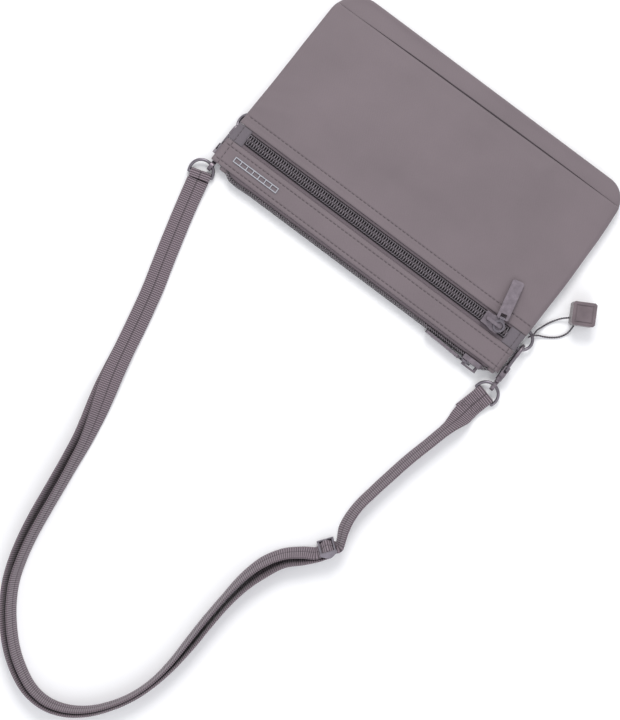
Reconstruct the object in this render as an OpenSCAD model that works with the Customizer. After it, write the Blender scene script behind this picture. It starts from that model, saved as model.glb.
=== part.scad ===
// Flat zip pouch with a detachable, adjustable shoulder strap.
// The pouch lies on its back: +X is to the right as seen from the front,
// +Y points to the top zip, +Z out of the front. Millimetres.

/* [Pouch] */
// Half width of the pouch at its top edge
half_w = 106.4; // [106:0.1:107]
// Height of the bottom edge, from the origin
bottom_y = -69; // [-74:1:-62]
// Height of the top strip's folded edge
top_y = 65; // [65:0.5:66]
// Radius of the bottom left corner
corner_left = 15; // [8:1:22]
// Radius of the bottom right corner
corner_right = 20; // [8:1:24]
// Thickness of one padded fabric skin
skin = 1; // [0.8:0.1:1]
// Height of the fold across the bottom of the front pocket
fold_y = -57; // [-62:1:-50]

/* [Zips] */
// Centre line of the front zip
zip_y = 42.6; // [42:0.1:43]
// Half height of the window that shows the front zip
window_half = 6.2; // [5.8:0.1:6.4]
// Left end of the zip window
window_x0 = -96.4; // [-98:0.2:-95]
// Right end of the zip window
window_x1 = 97.4; // [96:0.2:98]
// Rest position of the front slider
front_slider_x = -85.4; // [-88:0.2:-80]
// Rest position of the top slider
top_slider_x = -90; // [-90:0.2:-80]
// Length of a pull tab
pull_len = 24.5; // [18:0.5:26]
// Width of a pull tab
pull_w = 7.4; // [6:0.2:8]

/* [Hardware] */
// Wire radius of the four rings
wire_r = 0.95; // [0.8:0.05:1]
// Width of a snap hook across its jaw
hook_w = 9.6; // [9.2:0.1:9.8]
// Side length of the cube charm
cube_s = 14.2; // [12:0.2:16]

/* [Strap] */
// Width of the webbing
web_w = 12.7; // [11:0.1:13]
// Thickness of the webbing
web_t = 1.3; // [1:0.1:1.4]

/* [Hidden] */
$fn = 32;

fabric = [0.47, 0.42, 0.45];
lining = [0.30, 0.27, 0.29];
tape = [0.33, 0.30, 0.32];
coil = [0.27, 0.25, 0.27];
metal = [0.36, 0.34, 0.37];
webbing = [0.42, 0.38, 0.41];
eps = 0.01;

// Layers of the pouch, from the surface it lies on upwards
z_lining = skin + 0.1;
z_base = 4.7;
z_pocket = z_base + skin + 0.1;
z_tape = 7.3;
tape_t = 0.6;
z_coil = z_tape + tape_t;
z_skin = 8.0;
top_zip_z = 4.95;
top_zip_y = 66.9;

// Zip slider, measured from the top face of the tape
coil_h = 2.2;
row_gap = 0.3;
row_out = 2.95;

// ---- Outline of the pouch -------------------------------------------------
function arc(c, r, a0, a1, n) =
    [for (i = [0 : n]) let (a = a0 + (a1 - a0) * i / n)
        [c[0] + r * cos(a), c[1] + r * sin(a)]];

// inset d moves every side inwards by about d
function outline(d) = let (
        bl = max(corner_left - d, 1), br = max(corner_right - d, 1),
        yb = bottom_y + d, yt = top_y - d,
        xl = -half_w + d, xr = half_w + 1.6 - d)
    concat(
        arc([xl + bl + 0.5, yb + bl], bl, 180, 270, 8),
        arc([xr - br - 3.6, yb + br], br, 270, 360, 8),
        [[xr - 2.2, 0], [xr - 0.6, 40]],
        arc([xr - 2, yt - 2], 2, 0, 90, 3),
        arc([xl + 2, yt - 2], 2, 90, 180, 3),
        [[xl - 0.6, 30], [xl - 1.2, 0], [xl - 0.8, -35]]);

module plate(d, z0, z1, y0 = -200, y1 = 200) {
    translate([0, 0, z0]) linear_extrude(z1 - z0)
        intersection() {
            polygon(outline(d));
            translate([-150, y0]) square([300, y1 - y0]);
        }
}

// Room under the right edge for the snap hook, and at both sides for the rings
module side_room(zt = 7.8) {
    translate([98.7, 36.4, -1]) cube([20, 40, zt + 1]);
    translate([98.7, 27.4, -1]) cube([20, 10, zt + 1]);
    translate([-120, 31.2, -1]) cube([17.4, 17.4, zt + 1]);
}

// ---- Pouch fabric ---------------------------------------------------------
module back_panel() color(fabric) difference() {
    plate(2, 0, skin);
    side_room();
}

module front_base_panel() color(fabric) difference() {
    union() {
        plate(0, z_base, z_base + skin, -200, 56);
        difference() {
            plate(0, skin + 0.1, z_skin - 0.1, -200, 56);
            plate(1.3, 0, 20, -200, 200);
        }
        // lower strip that shows below the pocket's fold
        plate(0, z_base, z_skin - 0.1, -200, fold_y - 0.2);
    }
    side_room();
}

module front_panel() color(fabric)
    plate(0, z_skin, z_skin + skin, fold_y, zip_y - window_half + 0.7);

module top_strip() color(fabric)
    plate(0, z_skin, z_skin + skin, zip_y + window_half, 200);

// The inner bag, open towards the top zip
module main_lining() color(lining) difference() {
    plate(1.5, z_lining, z_base - 0.1, -200, 56);
    difference() {
        plate(2.3, z_lining + 0.4, z_base - 0.5, -200, 57);
        side_room();
    }
    translate([0.8, 0.8, 0]) side_room();
    side_room();
}

// The pocket behind the front zip
module pocket_lining() color(lining) difference() {
    union() {
        plate(2, z_pocket, z_pocket + 0.3, -55, 54);
        plate(2, z_pocket + 1.1, z_pocket + 1.4, -55, 36);
        difference() {
            plate(2, z_pocket, z_pocket + 1.4, -55, 36);
            plate(2.6, 0, 20, -54.4, 200);
        }
    }
    side_room();
}

module patch(x0, x1) color(fabric)
    translate([x0, zip_y - window_half + 0.85, z_coil + 0.1])
        cube([x1 - x0, 2 * window_half - 1, skin - 0.2]);
module zip_patch_left() patch(-half_w + 1.2, window_x0);
module zip_patch_right() patch(window_x1, half_w + 0.6);

module badge_bar() color([0.75, 0.75, 0.78])
    translate([64.4, 55.2, z_skin + skin]) difference() {
        cube([32, 3.6, 0.9]);
        for (i = [0 : 6]) translate([0.6 + 4.48 * i, 0.6, -1]) cube([3.9, 2.4, 3]);
    }

// ---- Zips -----------------------------------------------------------------
module front_tape(s) color(tape)
    translate([window_x0 - 6, zip_y + (s > 0 ? 0.9 : -11.6), z_tape])
        cube([window_x1 - window_x0 + 12, 10.7, tape_t]);
module front_zip_tape_upper() front_tape(1);
module front_zip_tape_lower() front_tape(-1);

// One row of a coil, with its loops as ribs along the inner edge
module coil_row(len, s) color(coil) {
    translate([0, s > 0 ? row_gap + 0.5 : -row_out, 0])
        cube([len, row_out - row_gap - 0.5, coil_h]);
    translate([0, s > 0 ? row_gap : -row_gap - 0.55, 0.5])
        cube([len, 0.55, coil_h - 1]);
}
module front_coil(s)
    translate([window_x0 + 0.1, zip_y, z_coil])
        coil_row(window_x1 - window_x0 - 0.2, s);
module front_zip_coil_upper() front_coil(1);
module front_zip_coil_lower() front_coil(-1);

module top_zip_tape_front() color(tape) {
    translate([-102, top_zip_y - tape_t, top_zip_z + 0.7]) cube([199, tape_t, 2.25]);
    translate([-102, 57, z_tape]) cube([199, top_zip_y - 57, tape_t]);
}
module top_zip_tape_back() color(tape) {
    translate([-102, top_zip_y - tape_t, z_lining]) cube([199, tape_t, 3.1]);
    translate([-102, 57, z_lining]) cube([199, top_zip_y - 57, tape_t]);
}
module top_frame(x) translate([x, top_zip_y, top_zip_z]) rotate([-90, 0, 0]) children();
module top_zip_coil_front() top_frame(-100) coil_row(196, -1);
module top_zip_coil_back() top_frame(-100) coil_row(196, 1);

// Slider: lower and upper plates joined by a rib between the two rows, side
// flanges and an arched bridge with a leg at each end. Its nose points to -X.
module slider_plate(w0, w1, h)
    linear_extrude(h) polygon([[-6.4, -w1 + 1.2], [-5.2, -w1], [-1, -w1], [2, -w0],
        [6.4, -w0], [6.4, w0], [2, w0], [-1, w1], [-5.2, w1], [-6.4, w1 - 1.2]]);

leg_x0 = -4.4;
leg_x1 = 3.6;
bridge_z = 5.6;
module slider_body() color(metal) {
    translate([0, 0, -1.5]) slider_plate(2.1, 2.2, 0.8);
    translate([-5, -0.18, -1]) cube([3, 0.36, 4]);
    difference() {
        translate([0, 0, 0.15]) slider_plate(3.9, 4.7, 3.15);
        translate([-8, -3.1, -1]) cube([16, 6.2, 3.3]);
    }
    for (x = [leg_x0, leg_x1])
        translate([x, 0, 3]) cylinder(r = 1.0, h = bridge_z - 3 + 0.5);
    translate([leg_x0, -1.0, bridge_z]) cube([leg_x1 - leg_x0, 2.0, 1.1]);
    for (x = [leg_x0, leg_x1])
        translate([x, 0, bridge_z]) cylinder(r = 1.0, h = 1.1);
}

// Pull ring: a flat ring round a bridge leg, ending in an eye for the tab's pin.
// It is drawn round the origin, pointing to -Y.
ring_z = 4.45;
pin_y = -5.2;
module pull_ring_shape() color(metal) {
    difference() {
        translate([0, 0, -0.6]) cylinder(r = 3.7, h = 1.2);
        translate([0, 0, -1]) cylinder(r = 2.5, h = 2);
    }
    difference() {
        union() {
            translate([-1.3, pin_y, -0.6]) cube([2.6, 2.3, 1.2]);
            translate([-1.5, pin_y, 0]) rotate([0, 90, 0]) cylinder(r = 1.1, h = 3);
        }
        translate([-4, pin_y, 0]) rotate([0, 90, 0]) cylinder(r = 0.66, h = 8);
    }
}

// Pull tab: a flat bar with a window, whose upper pin sits in the ring's eye
module pull_tab_shape(tip) color(metal) translate([0, pin_y, 0]) rotate([tip, 0, 0])
    translate([0, -pin_y, 0]) {
    translate([-2.2, pin_y, 0]) rotate([0, 90, 0]) cylinder(r = 0.6, h = 4.4);
    translate([0, pin_y, -0.85]) linear_extrude(1.7) difference() {
        polygon([[-pull_w / 2 + 0.8, 0.7], [-pull_w / 2, -0.2], [-pull_w / 2, -pull_len + 1],
            [-pull_w / 2 + 1, -pull_len], [pull_w / 2 - 1, -pull_len],
            [pull_w / 2, -pull_len + 1], [pull_w / 2, -0.2], [pull_w / 2 - 0.8, 0.7]]);
        translate([-1.9, -2.8]) square([3.8, 5]);
    }
}

front_tilt = 12;
module front_frame() translate([front_slider_x + leg_x0, zip_y, z_coil + ring_z])
    rotate([0, 0, front_tilt]) children();
module front_slider() translate([front_slider_x, zip_y, z_coil]) slider_body();
module front_pull_ring() front_frame() pull_ring_shape();
module front_pull_tab() front_frame() pull_tab_shape(5);

module top_ring_frame() top_frame(top_slider_x + leg_x1)
    translate([0, 0, ring_z]) rotate([0, 0, 90]) children();
module top_slider() top_frame(top_slider_x) slider_body();
module top_pull_ring() top_ring_frame() pull_ring_shape();
module top_pull_tab() top_ring_frame() pull_tab_shape(2.5);

// ---- Rings ----------------------------------------------------------------
// A D ring in the XY plane: its bar runs along Y through the origin and its
// bow points to -X.
module d_ring(r, s) color(metal) {
    translate([-s, 0, 0]) rotate([0, 0, 90]) rotate_extrude(angle = 180)
        translate([r, 0]) circle(r = wire_r, $fn = 24);
    for (y = [-r, r]) {
        translate([-s, y, 0]) rotate([0, 90, 0]) cylinder(r = wire_r, h = s, $fn = 24);
        translate([0, y, 0]) sphere(r = wire_r, $fn = 24);
    }
    translate([0, -r, 0]) rotate([-90, 0, 0]) cylinder(r = wire_r, h = 2 * r, $fn = 24);
}

side_r = 6.35;
side_s = 1.2;
left_bar = [-105, 40, 5];
right_bar = [101.9, 35.4, 5.2];
right_drop = 25;
module side_ring_left() translate(left_bar) d_ring(side_r, side_s);
module side_ring_right() translate(right_bar) rotate([0, right_drop, 0])
    mirror([1, 0, 0]) d_ring(side_r, side_s);

// Fabric loop sewn into the side seam round a ring's bar
module side_tab(l, x, w) color(fabric) difference() {
    union() {
        translate([0, -4.5, 0]) rotate([-90, 0, 0]) cylinder(r = 1.9, h = l);
        translate([x, -4.5, -0.4]) cube([w, l, 0.8]);
    }
    translate([0, -5, 0]) rotate([-90, 0, 0]) cylinder(r = wire_r + 0.06, h = 10);
}
module side_tab_left() translate(left_bar) side_tab(9, 0, 2.4);
module side_tab_right() translate(right_bar) side_tab(5.5, -3.2, 3.2);

// ---- Snap hooks -----------------------------------------------------------
// Drawn with the jaw's centre at the origin, the swivel along +Y, and the
// jaw's plane in YZ. The gate is on the +Z side.
jaw_r = hook_w / 2 - 1.1;
eye_y = 25.9;
module hook_body() color(metal) {
    rotate(a = 180, v = [1, 0, 1]) rotate_extrude(angle = 180)
        translate([jaw_r, 0]) circle(r = 1.1, $fn = 24);
    translate([0, 0, -jaw_r]) rotate([-90, 0, 0]) cylinder(r = 1.1, h = 13, $fn = 24);
    translate([0, 0, jaw_r]) rotate([-90, 0, 0]) cylinder(r = 1.1, h = 4.2, $fn = 24);
    difference() {
        union() {
            translate([-1.7, 12, -hook_w / 2 + 0.1]) cube([3.4, 7, hook_w - 0.2]);
            translate([0, 18, 0]) rotate([-90, 0, 0]) cylinder(r = 2.0, h = 3.6);
        }
        // slot for the gate and its spring
        translate([-0.95, 11, 1.2]) cube([1.9, 5.4, 5]);
        translate([-3, 14, 3.2]) rotate([0, 90, 0]) cylinder(r = 0.52, h = 6);
        // seat of the swivel's stem and head
        translate([0, 17.5, 0]) rotate([-90, 0, 0]) cylinder(r = 1.0, h = 5);
        translate([-2, 17, -1.6]) cube([4, 1.5, 3.2]);
    }
}
module hook_gate() color(metal) difference() {
    union() {
        translate([0, 4.4, jaw_r]) rotate([-90, 0, 0]) cylinder(r = 0.9, h = 9.6, $fn = 24);
        translate([-0.85, 14, 3.2]) rotate([0, 90, 0]) cylinder(r = 1.4, h = 0.95);
        translate([-0.85, 9.5, jaw_r - 0.8]) cube([0.95, 4.6, 1.6]);
    }
    translate([-2, 14, 3.2]) rotate([0, 90, 0]) cylinder(r = 0.56, h = 4);
    translate([0.1, 11, 0]) cube([3, 6, 6]);
}
module gate_pin() color(metal)
    translate([-1.8, 14, 3.2]) rotate([0, 90, 0]) cylinder(r = 0.5, h = 3.6);
// Torsion spring round the pin, beside the gate's knuckle
module gate_spring() color(coil) for (x = [0.34, 0.72])
    translate([x, 14, 3.2]) rotate([0, 90, 0]) rotate_extrude()
        translate([0.82, 0]) circle(r = 0.17, $fn = 16);
module swivel_eye() color(metal) {
    difference() {
        translate([-1.1, eye_y, 0]) rotate([0, 90, 0]) cylinder(r = 3.25, h = 2.2);
        translate([-2, eye_y, 0]) rotate([0, 90, 0]) cylinder(r = 1.9, h = 4);
    }
    translate([0, 21.75, 0]) rotate([-90, 0, 0]) cylinder(r = 1.5, h = 1.9);
    translate([0, 17.9, 0]) rotate([-90, 0, 0]) cylinder(r = 0.93, h = 5);
    translate([0, 17.15, 0]) rotate([-90, 0, 0]) cylinder(r = 1.4, h = 1.1);
}

left_jaw = [-109.2, 46.5, 5];
right_jaw = [104.4, 42.3, 4.15];
right_roll = 60;
right_lean = -2.5;
module hook_left() translate(left_jaw) children();
module hook_right() translate(right_jaw) rotate([0, 0, right_lean])
    rotate([0, right_roll, 0]) children();
module hook_body_left() hook_left() hook_body();
module hook_body_right() hook_right() hook_body();
module hook_gate_left() hook_left() hook_gate();
module hook_gate_right() hook_right() hook_gate();
module gate_pin_left() hook_left() gate_pin();
module gate_pin_right() hook_right() gate_pin();
module gate_spring_left() hook_left() gate_spring();
module gate_spring_right() hook_right() gate_spring();
module swivel_eye_left() hook_left() swivel_eye();
module swivel_eye_right() translate(right_jaw) rotate([0, 0, right_lean])
    swivel_eye();

// ---- Strap ----------------------------------------------------------------
strap_r = 7.35;
strap_s = 1.65;
left_fold = [-108.2, 80.5, 2.5];
left_turn = -14.8;
right_fold = [108, 76.2, 2.5];
right_turn = 16.7;
module strap_ring_left() translate(left_fold) rotate([0, 0, left_turn])
    rotate([-16, 0, 0]) rotate([0, 0, 90]) d_ring(strap_r, strap_s);
module strap_ring_right() translate(right_fold) rotate([0, 0, right_turn])
    rotate([-10, 0, 0]) rotate([0, 0, 90]) d_ring(strap_r, strap_s);

// Routes of the webbing's middle line. Each point is [x, y, z, roll], where
// roll turns the band about its own length, 0 flat and 90 on edge.
single_route = [
    [-107.6, 82.9, 4.3, 0], [-106.9, 85.6, 3.6, 0], [-106, 89.4, 2.6, 0], [-105.1, 94.8, 2.75, 1],
    [-104.6, 98.8, 3.5, 18], [-103.8, 103, 4.9, 42], [-102.8, 107.4, 5.9, 57], [-101.5, 112.4, 6.3, 63],
    [-98.5, 124.3, 6.4, 65],
    [-95, 137.5, 6.4, 65], [-91.8, 153.4, 6.4, 65], [-89.3, 166.6, 6.5, 66], [-87.5, 177.6, 6.7, 66],
    [-87.4, 187.5, 7, 64], [-88.6, 194.6, 7.4, 62.5], [-90, 199, 7.7, 62]];
// Layer that runs through the slider, on the inner side of the loop
inner_route = [
    [-92.31, 205.11, 7.97, 62.1], [-90.68, 207.01, 8.06, 63.2], [-88.41, 208.06, 8.69, 65], [-86.34, 209.26, 9.19, 62],
    [-85.77, 211.58, 8.69, 65], [-85.4, 214.05, 8.06, 63.3], [-83.98, 216.49, 7.88, 62.1],
    [-77.4, 221, 7, 64], [-68.8, 228.6, 6.6, 66], [-61.9, 239.7, 6.6, 68], [-57.3, 254, 6.6, 72],
    [-55, 270, 6.6, 74], [-53.8, 288, 6.6, 74], [-53.4, 306, 6.6, 74], [-52.8, 322, 6.6, 72],
    [-50.4, 337, 6.6, 70], [-46, 350, 6.5, 71], [-39, 362.4, 6.4, 70], [-30, 373, 6.4, 70],
    [-19.4, 380.4, 6.4, 70], [-8, 384, 6.4, 70], [4, 383, 6.4, 70], [15.4, 378, 6.4, 70],
    [26, 370.8, 6.4, 70], [36, 361, 6.4, 70], [44.4, 350, 6.4, 71], [51, 338, 6.5, 70],
    [55.4, 324.4, 6.6, 70], [58.4, 310, 6.6, 70], [60.4, 296, 6.6, 70], [62.2, 280, 6.6, 70],
    [64.2, 264, 6.5, 68], [66.4, 248, 6.3, 62], [67.8, 241, 6.1, 56.5], [69.4, 234, 5.8, 50], [71.2, 227, 5.5, 41.5],
    [73.2, 220, 5.2, 32], [75.1, 213.5, 4.75, 23], [77, 207, 4.2, 14], [78.8, 200, 3.5, 7.5],
    [80.4, 193, 2.8, 2], [83.4, 178, 2.4, 0], [86.4, 163, 2.4, 0],
    [89.8, 148, 2.4, 0], [94, 133, 2.4, 0], [98, 118, 2.4, 0], [101.6, 104, 2.4, 0],
    [104.6, 91.6, 2.6, 0], [106.2, 84.4, 3.6, 0], [107.2, 80, 4.25, 0]];
// Layer that carries the sewn end, on the outer side of the loop
outer_route = [
    [-87.80, 214.35, 6.94, 62], [-85.99, 217.12, 6.82, 63], [-79.6, 224.4, 6.6, 64], [-71.8, 232.6, 6.6, 66], [-66, 244.8, 6.6, 68],
    [-62.2, 259, 6.6, 72], [-60.2, 274, 6.6, 74], [-59, 290, 6.6, 74], [-58.2, 306, 6.6, 74],
    [-56.8, 322, 6.6, 72], [-53.8, 338.4, 6.6, 70], [-48.8, 352.4, 6.5, 71], [-41.4, 365.2, 6.4, 70],
    [-32, 376.2, 6.4, 70], [-20.6, 384, 6.4, 70], [-8, 387.6, 6.4, 70], [5, 386.6, 6.4, 70],
    [17.2, 381.4, 6.4, 70], [28.4, 373.6, 6.4, 70], [38.8, 363.4, 6.4, 70], [47.6, 352, 6.4, 71],
    [54.6, 339.6, 6.5, 70], [59.6, 325.8, 6.6, 70], [63.2, 311, 6.6, 70], [65.6, 296.4, 6.6, 70],
    [67.4, 281, 6.6, 70], [69.2, 265, 6.5, 68], [71, 249, 6.3, 62], [72, 242, 6, 56.5], [73.2, 235, 5.6, 50],
    [74.6, 228, 4.9, 41.5], [76, 221, 4.1, 32], [77.3, 214.2, 3.15, 23], [78.4, 207.4, 2.3, 14],
    [79.6, 200.2, 1.6, 7.5], [80.8, 193, 1, 2], [83.4, 178, 0.8, 0],
    [86.4, 163, 0.8, 0], [89.8, 148, 0.8, 0], [94, 133, 0.8, 0], [98, 118, 0.8, 0],
    [101.6, 104, 0.8, 0], [104.6, 91.6, 0.8, 0], [107.2, 80, 0.8, 0]];

function unit(v) = v / norm(v);
function tangent(p, i) = unit([for (k = [0 : 2])
    p[min(i + 1, len(p) - 1)][k] - p[max(i - 1, 0)][k]]);
// Corner directions of the flat band's section at point i
function band_ring(p, i) = let (
        t = tangent(p, i), h = unit(cross([0, 0, 1], t)), v = cross(t, h),
        w = h * cos(p[i][3]) + v * sin(p[i][3]), n = cross(t, w),
        a = web_w / 2, b = web_t / 2, c = 0.3,
        o = [p[i][0], p[i][1], p[i][2]])
    [for (q = [[-a, -b + c], [-a + c, -b], [a - c, -b], [a, -b + c],
               [a, b - c], [a - c, b], [-a + c, b], [-a, b - c]])
        o + w * q[0] + n * q[1]];
function tube_ring(p, i, r) = let (
        t = tangent(p, i), h = unit(cross(abs(t[2]) > 0.9 ? [1, 0, 0] : [0, 0, 1], t)),
        v = cross(t, h), o = [p[i][0], p[i][1], p[i][2]])
    [for (k = [0 : 7]) o + r * (h * cos(45 * k) + v * sin(45 * k))];
module skin_rings(rings) {
    n = len(rings);
    polyhedron(
        points = [for (r = rings) each r],
        faces = concat(
            [[for (k = [0 : 7]) k]],
            [for (i = [0 : n - 2]) for (k = [0 : 7])
                [8 * i + k, 8 * (i + 1) + k, 8 * (i + 1) + (k + 1) % 8]],
            [for (i = [0 : n - 2]) for (k = [0 : 7])
                [8 * i + k, 8 * (i + 1) + (k + 1) % 8, 8 * i + (k + 1) % 8]],
            [[for (k = [7 : -1 : 0]) 8 * (n - 1) + k]]));
}
module band(p) color(webbing) skin_rings([for (i = [0 : len(p) - 1]) band_ring(p, i)]);

module webbing_single() band(single_route);
module webbing_inner() band(inner_route);
module webbing_outer() band(outer_route);

// Turn of the webbing round a bar, in the bar's own frame: the bar runs along
// X, and the two layers leave towards +Y
module fold(r_in, legs, w = web_w) color(webbing)
    translate([-w / 2, 0, 0]) rotate([90, 0, 90]) linear_extrude(w) difference() {
        union() {
            circle(r = r_in + web_t);
            translate([0, -r_in - web_t]) square([legs, 2 * (r_in + web_t)]);
        }
        circle(r = r_in);
        translate([0, -r_in]) square([legs + 1, 2 * r_in]);
    }
bar_gap = 1.1;
module webbing_fold_left() {
    translate(left_fold) rotate([0, 0, left_turn]) fold(bar_gap, 1.4);
    // sewn-down end below the strap
    translate([left_fold[0], left_fold[1], 0.1]) rotate([0, 0, left_turn])
        color(webbing) translate([-web_w / 2, 1.4, 0]) cube([web_w, 15.6, web_t]);
}
module webbing_fold_right()
    translate(right_fold) rotate([0, 0, right_turn]) fold(bar_gap, 3);

// Slider of the strap, in its own frame: bars along X, the strap along Y
glide = [-87.6, 210.2, 8.35];
glide_turn = -36.9;
glide_roll = -62;
glide_half = 4.4;
module glide_frame() translate(glide) rotate([0, 0, glide_turn]) rotate([0, -glide_roll, 0])
    children();
module tri_glide() color(metal) glide_frame() {
    for (y = [-glide_half, glide_half])
        translate([-7.8, y, 1.2]) rotate([0, 90, 0]) cylinder(r = 0.8, h = 15.6);
    translate([-7.8, 0, -1.4]) rotate([0, 90, 0]) cylinder(r = 0.8, h = 15.6);
    for (x = [-7.9, 6.5]) translate([x, 0, 0]) rotate([90, 0, 90]) linear_extrude(1.4)
        polygon([[-5.2, 0.6], [-1, -2.1], [1, -2.1], [5.2, 0.6], [5.2, 1.8], [4.6, 2],
                 [-4.6, 2], [-5.2, 1.8]]);
}
// Sewn loop round the slider's middle bar
module webbing_fold_glide() color(webbing) glide_frame() translate([-web_w / 2, 0, -1.4])
    rotate([90, 0, 90]) linear_extrude(web_w) difference() {
        union() {
            circle(r = 0.9 + web_t);
            translate([0, -0.9 - web_t]) square([2.4, web_t]);
        }
        circle(r = 0.9);
    }

// ---- Charm ----------------------------------------------------------------
charm_route = [
    [-126.1, 14.95, 4.2], [-126.3, 17.6, 2.2], [-126, 20.6, 1.2], [-123.4, 25.2, 0.9], [-119.4, 28.6, 0.9],
    [-115.6, 30.8, 1.2], [-112.6, 32.2, 2.2], [-110.4, 34, 3.1], [-109, 35.8, 3.8], [-108.5, 36.6, 5],
    [-108.8, 36, 6.3], [-109.6, 34.4, 6.8], [-110, 32.4, 6], [-110.2, 30.2, 4], [-111.4, 27, 1.8],
    [-113.2, 22.8, 1], [-115.6, 18.6, 1.4], [-118.4, 15, 2.6], [-121.2, 12.5, 4.2]];
module charm_cord() color([0.2, 0.19, 0.2])
    skin_rings([for (i = [0 : len(charm_route) - 1]) tube_ring(charm_route, i, 0.55)]);

module charm_cube() color([0.33, 0.29, 0.31])
    translate([-126.2, 6.3, 0]) rotate([0, 0, 29]) difference() {
        translate([-cube_s / 2, -cube_s / 2, 0.1]) cube(cube_s);
        for (a = [0 : 90 : 270]) rotate([0, 0, a])
            translate([cube_s / 2, cube_s / 2, -1]) rotate([0, 0, 45])
                translate([-0.8, -5, 0]) cube([4, 10, 20]);
        // shallow square border on the upper face
        translate([0, 0, cube_s - 0.3]) difference() {
            translate([-5.3, -5.3, 0]) cube([10.6, 10.6, 1]);
            translate([-4.6, -4.6, -1]) cube([9.2, 9.2, 3]);
        }
    }

back_panel();
front_base_panel();
front_panel();
top_strip();
main_lining();
pocket_lining();
zip_patch_left();
zip_patch_right();
front_zip_tape_upper();
front_zip_tape_lower();
front_zip_coil_upper();
front_zip_coil_lower();
top_zip_tape_front();
top_zip_tape_back();
top_zip_coil_front();
top_zip_coil_back();
front_slider();
front_pull_ring();
front_pull_tab();
top_slider();
top_pull_ring();
top_pull_tab();
badge_bar();
side_tab_left();
side_tab_right();
side_ring_left();
side_ring_right();
hook_body_left();
hook_body_right();
hook_gate_left();
hook_gate_right();
gate_pin_left();
gate_pin_right();
gate_spring_left();
gate_spring_right();
swivel_eye_left();
swivel_eye_right();
strap_ring_left();
strap_ring_right();
webbing_single();
webbing_inner();
webbing_outer();
webbing_fold_left();
webbing_fold_right();
webbing_fold_glide();
tri_glide();
charm_cord();
charm_cube();
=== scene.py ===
import math

import bpy
import numpy as np
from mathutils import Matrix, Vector, noise
from mathutils.bvhtree import BVHTree


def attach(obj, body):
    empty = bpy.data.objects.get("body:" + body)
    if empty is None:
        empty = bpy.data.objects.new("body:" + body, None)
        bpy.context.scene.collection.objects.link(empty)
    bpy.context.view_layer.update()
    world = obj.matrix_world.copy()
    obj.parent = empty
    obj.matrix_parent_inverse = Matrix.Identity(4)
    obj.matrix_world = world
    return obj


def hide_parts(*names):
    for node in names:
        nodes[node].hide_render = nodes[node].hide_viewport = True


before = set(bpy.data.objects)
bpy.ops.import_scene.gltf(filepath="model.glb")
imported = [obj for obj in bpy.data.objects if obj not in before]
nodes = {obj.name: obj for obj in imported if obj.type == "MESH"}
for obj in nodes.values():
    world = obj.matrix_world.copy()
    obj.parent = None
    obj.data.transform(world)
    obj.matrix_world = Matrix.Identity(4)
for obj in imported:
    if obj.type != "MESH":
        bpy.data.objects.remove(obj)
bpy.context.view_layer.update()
scene = bpy.context.scene
MM = 0.001


# ---- Camera -----------------------------------------------------------------
cam_data = bpy.data.cameras.new("camera")
cam_data.type = "PERSP"
cam_data.lens = 100.0
cam_data.sensor_width = 36.0
cam_data.dof.use_dof = False
cam = bpy.data.objects.new("camera", cam_data)
scene.collection.objects.link(cam)
cam.location = (-0.0117, 0.1261, 1.205)
cam.rotation_euler = (0.0, 0.0, math.radians(216.8))
scene.camera = cam


# ---- Small helpers ----------------------------------------------------------
def clamp(v, lo=0.0, hi=1.0):
    return max(lo, min(hi, v))


def smooth(a, b, v):
    t = clamp((v - a) / (b - a))
    return t * t * (3 - 2 * t)


def nz(x, y, z=0.0):
    return noise.noise(Vector((x, y, z)))


def make_mesh(name, verts, faces, mat, smooth_shade=True, uvs=None):
    """verts in millimetres; uvs is one pair per vertex."""
    me = bpy.data.meshes.new(name)
    v = np.asarray(verts, float) * MM
    me.from_pydata(v.tolist(), [], faces)
    me.validate()
    if smooth_shade:
        me.polygons.foreach_set("use_smooth", [True] * len(me.polygons))
    if uvs is not None:
        layer = me.uv_layers.new(name="UVMap")
        idx = np.zeros(len(me.loops), np.int32)
        me.loops.foreach_get("vertex_index", idx)
        layer.data.foreach_set("uv", np.asarray(uvs, float)[idx].ravel())
    me.update()
    ob = bpy.data.objects.new(name, me)
    scene.collection.objects.link(ob)
    if mat is not None:
        me.materials.append(mat)
    return ob


def sharp_by_angle(ob, deg=40.0):
    """Marks edges sharper than the angle, so smooth shading keeps them crisp."""
    import bmesh
    bm = bmesh.new()
    bm.from_mesh(ob.data)
    lim = math.radians(deg)
    for e in bm.edges:
        if len(e.link_faces) == 2 and e.calc_face_angle(0.0) > lim:
            e.smooth = False
    bm.to_mesh(ob.data)
    bm.free()


def finish_piece(ob, body, slot, *replaced):
    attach(ob, body)
    if replaced:
        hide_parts(*replaced)
    return ob


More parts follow.
